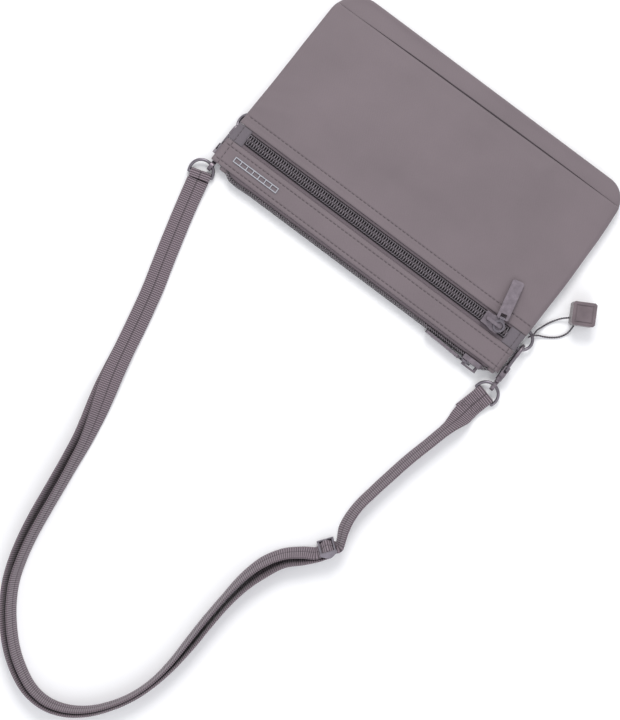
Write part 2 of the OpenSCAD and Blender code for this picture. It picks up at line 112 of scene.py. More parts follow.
class Soup:
    """Collects many small solids into one mesh."""

    def __init__(self):
        self.v, self.f, self.uv = [], [], []

    def add(self, verts, faces, uvs=None):
        k = len(self.v)
        self.v.extend(verts)
        self.f.extend([tuple(i + k for i in f) for f in faces])
        if uvs is not None:
            self.uv.extend(uvs)

    def tube(self, pts, r, sides=6, closed=False, flat=1.0, up=(0, 0, 1)):
        """A round tube along pts; flat squeezes it along its own normal."""
        p = np.asarray(pts, float)
        n = len(p)
        rings = []
        if closed:
            tan = np.roll(p, -1, 0) - np.roll(p, 1, 0)
        else:
            tan = np.gradient(p, axis=0)
        tan /= np.linalg.norm(tan, axis=1)[:, None] + 1e-12
        ref = np.array(up, float)
        for i in range(n):
            t = tan[i]
            h = np.cross(ref, t)
            if np.linalg.norm(h) < 1e-3:
                h = np.cross((1.0, 0.0, 0.0), t)
            h /= np.linalg.norm(h)
            v = np.cross(t, h)
            rr = r[i] if hasattr(r, "__len__") else r
            rings.append([p[i] + rr * (h * math.cos(a) + flat * v * math.sin(a))
                          for a in (2 * math.pi * k / sides for k in range(sides))])
        verts = [tuple(c) for ring in rings for c in ring]
        faces = []
        for i in range(n if closed else n - 1):
            j = (i + 1) % n
            for k in range(sides):
                l = (k + 1) % sides
                faces.append((i * sides + k, i * sides + l, j * sides + l, j * sides + k))
        if not closed:
            faces.append(tuple(range(sides))[::-1])
            faces.append(tuple((n - 1) * sides + k for k in range(sides)))
        self.add(verts, faces)

    def stitch(self, a, b, r=0.2, lift=0.12):
        """One thread from a to b that dips into the fabric at both ends."""
        a, b = np.asarray(a, float), np.asarray(b, float)
        pts, rad = [], []
        for k in range(5):
            t = k / 4
            c = a + (b - a) * t
            c = c + np.array((0, 0, lift * (math.sin(math.pi * t) * 2 - 1)))
            pts.append(c)
            rad.append(r * (0.55 + 0.45 * math.sin(math.pi * t)))
        self.tube(pts, rad, 6)

    def build(self, name, mat):
        return make_mesh(name, self.v, self.f, mat, True, self.uv if self.uv else None)


def stitch_line(soup, pts, pitch=2.9, length=2.1, r=0.2, lift=0.12):
    """Evenly spaced stitches along a polyline of 3-D points."""
    p = np.asarray(pts, float)
    seg = np.linalg.norm(np.diff(p, axis=0), axis=1)
    s = np.concatenate([[0], np.cumsum(seg)])
    total = s[-1]
    n = max(1, int(total / pitch))
    gap = total / n

    def at(d):
        return np.array([np.interp(d, s, p[:, k]) for k in range(3)])

    for i in range(n):
        a = i * gap + (gap - length) / 2
        soup.stitch(at(a), at(a + length), r, lift)


def catmull(pts, step, extra=None):
    """Resamples a route through its points at even spacing. Returns points,
    distance along it, and extra columns interpolated the same way."""
    p = np.asarray(pts, float)
    e = np.asarray(extra, float) if extra is not None else None
    out, oe = [], []
    n = len(p)
    for i in range(n - 1):
        p0, p1, p2, p3 = p[max(i - 1, 0)], p[i], p[i + 1], p[min(i + 2, n - 1)]
        d01 = max(np.linalg.norm(p1 - p0), 1e-6) ** 0.5
        d12 = max(np.linalg.norm(p2 - p1), 1e-6) ** 0.5
        d23 = max(np.linalg.norm(p3 - p2), 1e-6) ** 0.5
        m1 = (p2 - p1) if i == 0 else d12 * ((p1 - p0) / d01 - (p2 - p0) / (d01 + d12) + (p2 - p1) / d12)
        m2 = (p2 - p1) if i == n - 2 else d12 * ((p2 - p1) / d12 - (p3 - p1) / (d12 + d23) + (p3 - p2) / d23)
        k = max(4, int(np.linalg.norm(p2 - p1) / step * 2))
        for j in range(k):
            t = j / k
            a, b = 2 * t ** 3 - 3 * t ** 2 + 1, t ** 3 - 2 * t ** 2 + t
            c, d = -2 * t ** 3 + 3 * t ** 2, t ** 3 - t ** 2
            out.append(a * p1 + b * m1 + c * p2 + d * m2)
            if e is not None:
                w = t * t * (3 - 2 * t) if False else t
                oe.append(e[i] * (1 - w) + e[i + 1] * w)
    out.append(p[-1])
    if e is not None:
        oe.append(e[-1])
    out = np.array(out)
    s = np.concatenate([[0], np.cumsum(np.linalg.norm(np.diff(out, axis=0), axis=1))])
    m = max(2, int(round(s[-1] / step)))
    q = np.linspace(0, s[-1], m + 1)
    res = np.stack([np.interp(q, s, out[:, k]) for k in range(3)], 1)
    re = None
    if e is not None:
        oe = np.array(oe)
        re = np.stack([np.interp(q, s, oe[:, k]) for k in range(oe.shape[1])], 1)
    return res, q, re


# ---- Materials --------------------------------------------------------------
class Mat:
    """A Principled material with helpers for procedural layers."""

    def __init__(self, name, color, rough=0.6, metallic=0.0, sheen=0.0, sheen_rough=0.4, spec=0.4):
        self.m = bpy.data.materials.new(name)
        self.m.use_nodes = True
        self.nt = self.m.node_tree
        self.p = self.nt.nodes["Principled BSDF"]
        self.color = color
        self.set("Base Color", (*color, 1))
        self.set("Roughness", rough)
        self.set("Metallic", metallic)
        self.set("Specular IOR Level", spec)
        if sheen:
            self.set("Sheen Weight", sheen)
            self.set("Sheen Roughness", sheen_rough)
        self.height = None
        self.col = None

    def set(self, key, val):
        self.p.inputs[key].default_value = val

    def n(self, kind, **kw):
        node = self.nt.nodes.new(kind)
        for k, v in kw.items():
            if k in node.inputs:
                node.inputs[k].default_value = v
            else:
                setattr(node, k, v)
        return node

    def link(self, a, b):
        self.nt.links.new(a, b)

    def coords(self, uv=False, scale=(1, 1, 1), rot=(0, 0, 0)):
        tc = self.n("ShaderNodeTexCoord")
        mp = self.n("ShaderNodeMapping")
        mp.inputs["Scale"].default_value = scale
        mp.inputs["Rotation"].default_value = rot
        self.link(tc.outputs["UV" if uv else "Object"], mp.inputs["Vector"])
        return mp.outputs["Vector"]

    def math(self, op, a, b=None, c=None):
        nd = self.n("ShaderNodeMath", operation=op)
        for i, v in enumerate((a, b, c)):
            if v is None:
                continue
            if isinstance(v, (int, float)):
                nd.inputs[i].default_value = v
            else:
                self.link(v, nd.inputs[i])
        return nd.outputs[0]

    def noise(self, vec, scale, detail=3.0, rough=0.5):
        nd = self.n("ShaderNodeTexNoise")
        nd.inputs["Scale"].default_value = scale
        nd.inputs["Detail"].default_value = detail
        nd.inputs["Roughness"].default_value = rough
        self.link(vec, nd.inputs["Vector"])
        return nd.outputs["Fac"]

    def wave(self, vec, scale, direction="X", distort=0.0, dscale=1.0, profile="SIN"):
        nd = self.n("ShaderNodeTexWave", wave_type="BANDS", bands_direction=direction, wave_profile=profile)
        nd.inputs["Scale"].default_value = scale
        nd.inputs["Distortion"].default_value = distort
        nd.inputs["Detail"].default_value = 0.0
        nd.inputs["Detail Scale"].default_value = dscale
        self.link(vec, nd.inputs["Vector"])
        return nd.outputs["Fac"]

    def ramp(self, fac, lo, hi, p0=0.0, p1=1.0):
        nd = self.n("ShaderNodeValToRGB")
        nd.color_ramp.elements[0].position, nd.color_ramp.elements[1].position = p0, p1
        nd.color_ramp.elements[0].color = (*lo, 1)
        nd.color_ramp.elements[1].color = (*hi, 1)
        self.link(fac, nd.inputs[0])
        return nd.outputs[0]

    def mix(self, fac, a, b, mode="MIX"):
        nd = self.n("ShaderNodeMix", data_type="RGBA", blend_type=mode)
        for sock, v in ((nd.inputs[0], fac), (nd.inputs[6], a), (nd.inputs[7], b)):
            if isinstance(v, (int, float)):
                sock.default_value = v
            elif isinstance(v, tuple):
                sock.default_value = (*v, 1)
            else:
                self.link(v, sock)
        return nd.outputs[2]

    def base(self, out):
        self.link(out, self.p.inputs["Base Color"])

    def rough(self, fac, lo, hi):
        nd = self.n("ShaderNodeMapRange")
        nd.inputs["To Min"].default_value = lo
        nd.inputs["To Max"].default_value = hi
        self.link(fac, nd.inputs["Value"])
        self.link(nd.outputs[0], self.p.inputs["Roughness"])

    def bump(self, height, strength, dist_mm, prev=None):
        nd = self.n("ShaderNodeBump")
        nd.inputs["Strength"].default_value = strength
        nd.inputs["Distance"].default_value = dist_mm * MM
        self.link(height, nd.inputs["Height"])
        if prev is not None:
            self.link(prev, nd.inputs["Normal"])
        self.link(nd.outputs[0], self.p.inputs["Normal"])
        return nd.outputs[0]


def srgb(r, g, b):
    f = lambda c: (c / 255 / 12.92) if c / 255 <= 0.04045 else ((c / 255 + 0.055) / 1.055) ** 2.4
    return (f(r), f(g), f(b))


def shade(c, k):
    return tuple(clamp(x * k) for x in c)


def fabric_material(name, color, weave=1500.0, big=0.035, rough=0.62, sheen=0.25, bump=0.35, var=0.07):
    """Twill nylon: two crossed thread waves and a diagonal rib, with slow cloudy
    changes of tone and a soft crease bump."""
    m = Mat(name, color, rough, 0.0, sheen, 0.45, 0.35)
    v = m.coords()
    warp = m.wave(v, weave * 0.5, "X", 0.4, 900)
    weft = m.wave(v, weave * 0.5, "Y", 0.4, 900)
    twill = m.wave(v, weave * 0.3, "DIAGONAL", 0.3, 500)
    threads = m.math("MULTIPLY", m.math("ADD", warp, weft), 0.35)
    cloth = m.math("ADD", threads, m.math("MULTIPLY", twill, 0.4))
    cloud = m.noise(v, 22.0, 4.0, 0.55)
    fleck = m.noise(v, 1800.0, 2.0, 0.6)
    tone = m.math("ADD", m.math("MULTIPLY", cloud, 0.75), m.math("MULTIPLY", fleck, 0.25))
    col = m.ramp(tone, shade(color, 1 - var * 1.6), shade(color, 1 + var * 1.6), 0.25, 0.75)
    col = m.mix(m.math("MULTIPLY", m.math("SUBTRACT", 1.0, cloth), 0.22), col, shade(color, 0.55))
    m.base(col)
    m.rough(cloud, rough - 0.08, rough + 0.1)
    soft = m.noise(v, 60.0, 3.0, 0.5)
    b = m.bump(soft, 0.5, big * 8)
    m.bump(cloth, bump, 0.07, b)
    return m.m


NYLON = srgb(114, 103, 108)
mat_nylon = fabric_material("nylon_twill", NYLON)
mat_nylon_back = fabric_material("nylon_twill_back", shade(NYLON, 0.96))
mat_lining = fabric_material("lining_plain_weave", srgb(96, 88, 92), 2600, 0.02, 0.7, 0.1, 0.25)


def tape_material(name, chain_y=None):
    """Woven zip tape. Where chain_y is given, the strip under the coil is darker:
    little light reaches it between the loops."""
    m = Mat(name, srgb(104, 93, 99), 0.75, 0.0, 0.15, 0.5, 0.25)
    v = m.coords()
    rib = m.wave(v, 900.0, "X", 0.5, 400)
    row = m.wave(v, 520.0, "Y", 0.2, 400)
    c = m.math("MULTIPLY", m.math("ADD", rib, row), 0.5)
    dust = m.noise(v, 260.0, 3.0)
    col = m.mix(m.math("MULTIPLY", dust, 0.4), m.ramp(c, srgb(78, 70, 75), srgb(124, 112, 119)), srgb(98, 88, 94))
    if chain_y is not None:
        sep = m.n("ShaderNodeSeparateXYZ")
        m.link(v, sep.inputs[0])
        off = m.math("ABSOLUTE", m.math("SUBTRACT", sep.outputs["Y"], chain_y * MM))
        mask = m.n("ShaderNodeMapRange", interpolation_type="SMOOTHSTEP")
        m.link(off, mask.inputs["Value"])
        for key, val in (("From Min", 3.7 * MM), ("From Max", 4.3 * MM), ("To Min", 1.0), ("To Max", 0.0)):
            mask.inputs[key].default_value = val
        col = m.mix(mask.outputs[0], col, srgb(30, 26, 29))
    m.base(col)
    m.bump(c, 0.6, 0.12)
    return m.m


def webbing_material():
    """Ribbed webbing. UV: x across and y along, both in millimetres / 10."""
    base = srgb(124, 111, 119)
    m = Mat("webbing_ribbed", base, 0.68, 0.0, 0.3, 0.4, 0.3)
    uv = m.coords(uv=True)
    sep = m.n("ShaderNodeSeparateXYZ")
    m.link(uv, sep.inputs[0])
    # threads between the ribs: one rib every 1.3 mm along, cords 0.98 mm across
    s = m.math("COSINE", m.math("MULTIPLY", m.math("ADD", sep.outputs["Y"], -0.065), 2 * math.pi * 10 / 1.3))
    t = m.math("SINE", m.math("MULTIPLY", sep.outputs["X"], 2 * math.pi * 10 / 0.98))
    fs = m.math("SINE", m.math("MULTIPLY", sep.outputs["Y"], 2 * math.pi * 10 / 0.325))
    rib = m.math("ADD", m.math("MULTIPLY", s, 0.5), 0.5)
    cords = m.math("ADD", m.math("MULTIPLY", t, 0.5), 0.5)
    knit = m.math("MULTIPLY", rib, m.math("ADD", m.math("MULTIPLY", cords, 0.6), 0.4))
    v = m.coords()
    fleck = m.noise(v, 900.0, 3.0, 0.6)
    cloud = m.noise(v, 35.0, 3.0, 0.5)
    # painted shade in the gaps between the ribs (0.16 of the base) and a painted highlight on their crests (1.75
    # of the base)
    col = m.ramp(knit, shade(base, 0.16), shade(base, 1.75), 0.1, 0.8)
    col = m.mix(m.math("MULTIPLY", fleck, 0.22), col, shade(base, 0.7))
    col = m.mix(m.math("MULTIPLY", cloud, 0.25), col, shade(base, 1.1))
    # painted shade in the groove along the middle, darker than the ribs beside it
    off = m.math("ABSOLUTE", m.math("ADD", m.math("ABSOLUTE", sep.outputs["X"]), -2.0))
    mid = m.math("MAXIMUM", m.math("ADD", m.math("MULTIPLY", off, -16.0), 1.0), 0.0)
    col = m.mix(m.math("MULTIPLY", mid, 0.75), col, shade(base, 0.2))
    m.base(col)
    m.rough(cloud, 0.6, 0.78)
    h = m.math("ADD", knit, m.math("MULTIPLY", fs, 0.12))
    m.bump(h, 0.8, 0.16)
    return m.m


def coil_material(name, base):
    m = Mat(name, base, 0.3, 0.0, 0.0, 0.4, 0.7)
    v = m.coords()
    n1 = m.noise(v, 420.0, 2.0)
    m.base(m.ramp(n1, shade(base, 0.75), shade(base, 1.3), 0.3, 0.7))
    m.rough(n1, 0.28, 0.45)
    m.bump(m.noise(v, 2500.0, 2.0), 0.15, 0.03)
    return m.m


def thread_material(name, base, rough=0.6):
    m = Mat(name, base, rough, 0.0, 0.2, 0.4, 0.35)
    v = m.coords()
    tw = m.wave(v, 1700.0, "DIAGONAL", 1.0, 600)
    m.base(m.ramp(tw, shade(base, 0.7), shade(base, 1.25)))
    m.bump(tw, 0.5, 0.05)
    return m.m


def cord_material():
    """Two dark strands laid together, with a painted highlight along one flank of each strand and painted shade
    on the other. UV: y along in millimetres / 10."""
    base = srgb(54, 49, 54)
    m = Mat("twisted_cord", base, 0.6, 0.0, 0.2, 0.4, 0.4)
    sep = m.n("ShaderNodeSeparateXYZ")
    m.link(m.coords(uv=True), sep.inputs[0])
    turn = m.math("ADD", m.math("MULTIPLY", sep.outputs["Y"], 2 * math.pi * 10 / 1.45),
                  m.math("MULTIPLY", sep.outputs["X"], -4 * math.pi))
    lay = m.math("ADD", m.math("MULTIPLY", m.math("SINE", turn), 0.5), 0.5)
    fibre = m.noise(m.coords(), 2400.0, 2.0)
    tone = m.math("ADD", m.math("MULTIPLY", lay, 0.85), m.math("MULTIPLY", fibre, 0.15))
    # painted highlight on one flank of each strand (up to 4.2 times the base), painted shade on the other (0.45)
    m.base(m.ramp(tone, shade(base, 0.45), shade(base, 4.2), 0.35, 0.95))
    m.bump(tone, 0.5, 0.08)
    return m.m


def metal_material(name, base, rough=0.36, metallic=0.85, grain=2200.0, wear=0.25):
    """Satin lacquered zinc: a fine orange-peel bump, small scuffs, and slightly
    brighter worn spots."""
    m = Mat(name, base, rough, metallic, 0.0, 0.4, 0.5)
    v = m.coords()
    scuff = m.noise(v, 320.0, 5.0, 0.65)
    fine = m.noise(v, grain, 2.0, 0.5)
    spots = m.math("GREATER_THAN", m.noise(v, 700.0, 4.0, 0.7), 0.68)
    col = m.ramp(scuff, shade(base, 0.8), shade(base, 1.18), 0.3, 0.7)
    col = m.mix(m.math("MULTIPLY", spots, wear), col, shade(base, 1.7))
    m.base(col)
    m.rough(scuff, rough - 0.07, rough + 0.12)
    m.bump(fine, 0.12, 0.03)
    m.set("Coat Weight", 0.2)
    m.set("Coat Roughness", 0.25)
    return m.m


def brushed_material(name, base, rough=0.25):
    m = Mat(name, base, rough, 1.0, 0.0, 0.4, 0.5)
    v = m.coords(scale=(1, 14, 14))
    streak = m.noise(v, 260.0, 5.0, 0.6)
    m.base(m.ramp(streak, shade(base, 0.78), shade(base, 1.1), 0.3, 0.7))
    m.rough(streak, rough - 0.06, rough + 0.12)
    m.bump(streak, 0.2, 0.02)
    return m.m


def rubber_material():
    base = srgb(104, 92, 97)
    m = Mat("charm_soft_touch", base, 0.5, 0.0, 0.15, 0.4, 0.4)
    v = m.coords()
    grain = m.noise(v, 1400.0, 3.0, 0.6)
    smear = m.noise(v, 140.0, 3.0, 0.5)
    m.base(m.ramp(smear, shade(base, 0.85), shade(base, 1.15), 0.3, 0.7))
    m.rough(smear, 0.42, 0.6)
    m.bump(grain, 0.25, 0.04)
    return m.m


mat_tape = tape_material("zip_tape_woven")
mat_tape_front = tape_material("zip_tape_woven_front", 42.6)
mat_webbing = webbing_material()
mat_coil = coil_material("zip_coil_nylon", srgb(105, 98, 105))
mat_coil_top = coil_material("zip_coil_nylon_top", srgb(100, 93, 99))
mat_thread = thread_material("sewing_thread", srgb(112, 100, 106))
mat_thread_dark = thread_material("sewing_thread_dark", srgb(86, 77, 82))
mat_chain_thread = thread_material("chain_thread", srgb(52, 46, 50))
# painted shadow: dark thread material for the strip drawn in the gap under the pocket's fold
mat_fold_gap_shadow = thread_material("fold_gap_painted_shadow", srgb(62, 54, 59), 0.8)
mat_cord = cord_material()
mat_patch = fabric_material("zip_end_patch", srgb(104, 97, 104), 900.0, 0.03, 0.7, 0.2, 0.6, 0.16)
mat_metal = metal_material("gunmetal_lacquer", srgb(122, 113, 121))
mat_ring = metal_material("ring_wire_gunmetal", srgb(118, 112, 120), 0.3, 0.9)
mat_steel = brushed_material("pin_steel", srgb(150, 148, 152), 0.32)
mat_spring = brushed_material("spring_wire", srgb(120, 118, 122), 0.35)
mat_badge = brushed_material("badge_polished", srgb(205, 206, 214), 0.2)
mat_charm = rubber_material()


# ---- Routes of the free cords, repeated from the part, in millimetres --------
SINGLE_ROUTE = [
    (-107.6, 82.9, 4.3, 0), (-106.9, 85.6, 3.6, 0), (-106, 89.4, 2.6, 0), (-105.1, 94.8, 2.75, 1),
    (-104.6, 98.8, 3.5, 18), (-103.8, 103, 4.9, 42), (-102.8, 107.4, 5.9, 57),
    (-101.5, 112.4, 6.3, 63), (-98.5, 124.3, 6.4, 65), (-95, 137.5, 6.4, 65),
    (-91.8, 153.4, 6.4, 65), (-89.3, 166.6, 6.5, 66), (-87.5, 177.6, 6.7, 66), (-87.4, 187.5, 7, 64),
    (-88.6, 194.6, 7.4, 62.5), (-90, 199, 7.7, 62),
]
INNER_ROUTE = [
    (-92.31, 205.11, 7.97, 62.1), (-90.68, 207.01, 8.06, 63.2), (-88.41, 208.06, 8.69, 65),
    (-86.34, 209.26, 9.19, 62), (-85.77, 211.58, 8.69, 65), (-85.4, 214.05, 8.06, 63.3),
    (-83.98, 216.49, 7.88, 62.1), (-77.4, 221, 7, 64), (-68.8, 228.6, 6.6, 66),
    (-61.9, 239.7, 6.6, 68), (-57.3, 254, 6.6, 72), (-55, 270, 6.6, 74), (-53.8, 288, 6.6, 74),
    (-53.4, 306, 6.6, 74), (-52.8, 322, 6.6, 72), (-50.4, 337, 6.6, 70), (-46, 350, 6.5, 71),
    (-39, 362.4, 6.4, 70), (-30, 373, 6.4, 70), (-19.4, 380.4, 6.4, 70), (-8, 384, 6.4, 70),
    (4, 383, 6.4, 70), (15.4, 378, 6.4, 70), (26, 370.8, 6.4, 70), (36, 361, 6.4, 70),
    (44.4, 350, 6.4, 71), (51, 338, 6.5, 70), (55.4, 324.4, 6.6, 70), (58.4, 310, 6.6, 70),
    (60.4, 296, 6.6, 70), (62.2, 280, 6.6, 70), (64.2, 264, 6.5, 68), (66.4, 248, 6.3, 62),
    (67.8, 241, 6.1, 56.5), (69.4, 234, 5.8, 50), (71.2, 227, 5.5, 41.5), (73.2, 220, 5.2, 32),
    (75.1, 213.5, 4.75, 23), (77, 207, 4.2, 14), (78.8, 200, 3.5, 7.5), (80.4, 193, 2.8, 2),
    (83.4, 178, 2.4, 0), (86.4, 163, 2.4, 0), (89.8, 148, 2.4, 0), (94, 133, 2.4, 0),
    (98, 118, 2.4, 0), (101.6, 104, 2.4, 0), (104.6, 91.6, 2.6, 0), (106.2, 84.4, 3.6, 0),
    (107.2, 80, 4.25, 0),
]
OUTER_ROUTE = [
    (-87.8, 214.35, 6.94, 62), (-85.99, 217.12, 6.82, 63), (-79.6, 224.4, 6.6, 64),
    (-71.8, 232.6, 6.6, 66), (-66, 244.8, 6.6, 68), (-62.2, 259, 6.6, 72), (-60.2, 274, 6.6, 74),
    (-59, 290, 6.6, 74), (-58.2, 306, 6.6, 74), (-56.8, 322, 6.6, 72), (-53.8, 338.4, 6.6, 70),
    (-48.8, 352.4, 6.5, 71), (-41.4, 365.2, 6.4, 70), (-32, 376.2, 6.4, 70), (-20.6, 384, 6.4, 70),
    (-8, 387.6, 6.4, 70), (5, 386.6, 6.4, 70), (17.2, 381.4, 6.4, 70), (28.4, 373.6, 6.4, 70),
    (38.8, 363.4, 6.4, 70), (47.6, 352, 6.4, 71), (54.6, 339.6, 6.5, 70), (59.6, 325.8, 6.6, 70),
    (63.2, 311, 6.6, 70), (65.6, 296.4, 6.6, 70), (67.4, 281, 6.6, 70), (69.2, 265, 6.5, 68),
    (71, 249, 6.3, 62), (72, 242, 6, 56.5), (73.2, 235, 5.6, 50), (74.6, 228, 4.9, 41.5),
    (76, 221, 4.1, 32), (77.3, 214.2, 3.15, 23), (78.4, 207.4, 2.3, 14), (79.6, 200.2, 1.6, 7.5),
    (80.8, 193, 1, 2), (83.4, 178, 0.8, 0), (86.4, 163, 0.8, 0), (89.8, 148, 0.8, 0),
    (94, 133, 0.8, 0), (98, 118, 0.8, 0), (101.6, 104, 0.8, 0), (104.6, 91.6, 0.8, 0),
    (107.2, 80, 0.8, 0),
]
CHARM_ROUTE = [
    (-126.1, 14.95, 4.2), (-126.3, 17.6, 2.2), (-126, 20.6, 1.2), (-123.4, 25.2, 0.9),
    (-119.4, 28.6, 0.9), (-115.6, 30.8, 1.2), (-112.6, 32.2, 2.2), (-110.4, 34, 3.1),
    (-109, 35.8, 3.8), (-108.5, 36.6, 5), (-108.8, 36, 6.3), (-109.6, 34.4, 6.8), (-110, 32.4, 6),
    (-110.2, 30.2, 4), (-111.4, 27, 1.8), (-113.2, 22.8, 1), (-115.6, 18.6, 1.4), (-118.4, 15, 2.6),
    (-121.2, 12.5, 4.2),
]

# ---- Strap ------------------------------------------------------------------
WEB_W, WEB_T = 12.7, 1.3


def route_frames(route):
    """Centres and width directions of a band route, as the part draws them."""
    p = np.array([r[:3] for r in route], float)
    w = []
    for i, r in enumerate(route):
        t = p[min(i + 1, len(p) - 1)] - p[max(i - 1, 0)]
        t /= np.linalg.norm(t)
        h = np.cross((0, 0, 1), t)
        h /= np.linalg.norm(h)
        v = np.cross(t, h)
        a = math.radians(r[3])
        w.append(h * math.cos(a) + v * math.sin(a))
    return [tuple(c) for c in p], [tuple(c) for c in w]


def rot_frame(origin, turn, roll=0.0):
    """Axes of a frame turned about Z, then rolled about its own Y."""
    a, b = math.radians(turn), math.radians(roll)
    rz = np.array([[math.cos(a), -math.sin(a), 0], [math.sin(a), math.cos(a), 0], [0, 0, 1]])
    ry = np.array([[math.cos(b), 0, math.sin(b)], [0, 1, 0], [-math.sin(b), 0, math.cos(b)]])
    return np.array(origin, float), rz @ ry


def arc_points(frame_, r, a0, a1, n, dz=0.0):
    """Half turn round a bar: angles in the frame's YZ plane."""
    o, m = frame_
    out = []
    for k in range(n + 1):
        a = math.radians(a0 + (a1 - a0) * k / n)
        out.append(tuple(o + m @ np.array((0, r * math.cos(a), dz + r * math.sin(a)))))
    return out


def local(frame_, x, y, z):
    o, m = frame_
    return tuple(o + m @ np.array((x, y, z), float))


LEFT = rot_frame((-108.2, 80.5, 2.5), -14.8)
RIGHT = rot_frame((108, 76.2, 2.5), 16.7)
GLIDE = rot_frame((-87.6, 210.2, 8.35), -36.9, 62)
R_FOLD = 1.1 + WEB_T / 2


def band(name, pts, wid, mat, half_w=WEB_W / 2, rib=0.14, seed=0.0, s0=0.0):
    """A ribbed webbing band along pts, with a woven edge and a centre groove."""
    c, s, w = catmull(pts, 0.65, wid)
    a = half_w
    us = [-a, -a + 0.12, -a + 0.45, -a + 0.9, -a * 0.62, -a * 0.36, -0.75, -0.36, 0.0,
          0.36, 0.75, a * 0.36, a * 0.62, a - 0.9, a - 0.45, a - 0.12, a]
    hs = [0.18, 0.42, 0.62, 0.66, 0.65, 0.65, 0.65, 0.55, 0.38, 0.55, 0.65, 0.65, 0.65, 0.66,
          0.62, 0.42, 0.18]
    prof = [(u, h, 1) for u, h in zip(us, hs)] + [(u, -h, -1) for u, h in zip(us[::-1], hs[::-1])]
    m = len(prof)
    verts, uvs, faces = [], [], []
    tan = np.gradient(c, axis=0)
    tan /= np.linalg.norm(tan, axis=1)[:, None]
    n = len(c)
    for i in range(n):
        t = tan[i]
        ww = w[i] - t * np.dot(w[i], t)
        ww /= np.linalg.norm(ww)
        nn = np.cross(t, ww)
        k = rib * (1 if i % 2 else -1)
        # slow waviness of the edges and a very slight cupping
        wob = 0.12 * nz(s[i] / 17.0, seed)
        lift = 0.10 * nz(s[i] / 23.0, seed + 7)
        for u, h, side in prof:
            inner = abs(u) < a - 0.3
            hh = h + side * (k if inner else k * 0.4)
            cup = lift * (u / a) ** 2
            uu = u + (wob if abs(u) > a - 1 else 0) + (0.05 * k / rib if abs(u) > a - 0.2 else 0)
            p = c[i] + ww * uu + nn * (hh + cup)
            verts.append(tuple(p))
            uvs.append(((u + side * 20.0) / 10.0, 0.065 * i))
        if i:
            b0, b1 = (i - 1) * m, i * m
            for j in range(m):
                l = (j + 1) % m
                faces.append((b0 + j, b1 + j, b1 + l, b0 + l))
    faces.append(tuple(range(m)))
    faces.append(tuple((n - 1) * m + j for j in range(m))[::-1])
    ob = make_mesh(name, verts, faces, mat, True, uvs)
    return ob, c, s


def gathered(route, other):
    """The loop's far end: both layers stand nearly on edge there and lie close
    together, more so than the part's plain bands."""
    q = np.array([r[:3] for r in other], float)
    dense = np.concatenate([q[:-1] + (q[1:] - q[:-1]) * t for t in np.linspace(0, 0.95, 20)])
    out = []
    for x, y, z, roll in route:
        if x < -42:
            target = float(np.interp(y, [240, 254, 270, 306, 322, 337, 350], [68, 74, 80, 79, 81, 84, 85]))
        else:
            target = float(np.interp(x, [-42, -30, -19, -8, 4, 15, 30, 44], [85, 83, 80, 77, 75, 73, 71, 70]))
        if y < 245 or x > 40 or target <= roll:
            out.append((x, y, z, roll))
            continue
        near = dense[np.argmin(np.linalg.norm(dense - (x, y, z), axis=1))]
        d = near[:2] - np.array((x, y))
        gap = float(np.linalg.norm(d))
        k = 0.8 * clamp((target - 70) / 14) / max(gap, 1e-6)
        out.append((x + d[0] * k, y + d[1] * k, z + 0.15 * clamp((target - 70) / 14), target))
    return out


# first length: sewn end under the strap, round the left ring's bar, through the
# slider and on to the right ring
sp, sw = route_frames(SINGLE_ROUTE)
ip, iw = route_frames(gathered(INNER_ROUTE, OUTER_ROUTE))
lx = -LEFT[1][:, 0]
pa = [local(LEFT, 0, 16.6, -1.72), local(LEFT, 0, 12, -1.74), local(LEFT, 0, 7, -1.75),
      local(LEFT, 0, 3, -1.75)]
pa += arc_points(LEFT, R_FOLD, 270, 90, 8)
wa = [tuple(lx)] * len(pa)
pa += [local(LEFT, 0, 1.4, 1.74)] + sp[1:-1] + ip[0:]
wa += [tuple(lx)] + sw[1:-1] + iw[0:]
strap_run, ca, sa = band("strap_webbing_run", pa, wa, mat_webbing, seed=1.0)

# second length: round the right ring's bar, back along the outer side, and round
# the slider's middle bar
op, ow = route_frames(gathered(OUTER_ROUTE, INNER_ROUTE))
rx = RIGHT[1][:, 0]
pb = [local(RIGHT, 0, 3.1, 1.74)]
pb += arc_points(RIGHT, R_FOLD, 90, 270, 8)
wb = [tuple(rx)] * len(pb)
pb += [local(RIGHT, 0, 2.2, -1.72)] + op[::-1][1:]
# the route's width direction keeps its sense when it is run backwards
wb += [tuple(rx)] + [tuple(-np.array(q)) if np.dot(q, rx) < 0 else q for q in ow[::-1][1:2]]
prev = np.array(wb[-1])
for q in ow[::-1][2:]:
    q = np.array(q)
    if np.dot(q, prev) < 0:
        q = -q
    wb.append(tuple(q))
    prev = q
gx = GLIDE[1][:, 0]
gx = gx if np.dot(gx, prev) > 0 else -gx
o, m = GLIDE
gc = (tuple(o + m @ np.array((0, 0, -1.4))), m)
pg = [local(gc, 0, 2.2, -1.56)] + arc_points(gc, 1.55, 270, 100, 8)
pb += pg
wb += [tuple(gx)] * len(pg)
strap_back, cb, sb = band("strap_webbing_back", pb, wb, mat_webbing, seed=4.0)
finish_piece(strap_run, "pouch", "webbing", "webbing_fold_left", "webbing_single", "webbing_inner")
finish_piece(strap_back, "pouch", "webbing", "webbing_fold_right", "webbing_outer",
             "webbing_fold_glide")


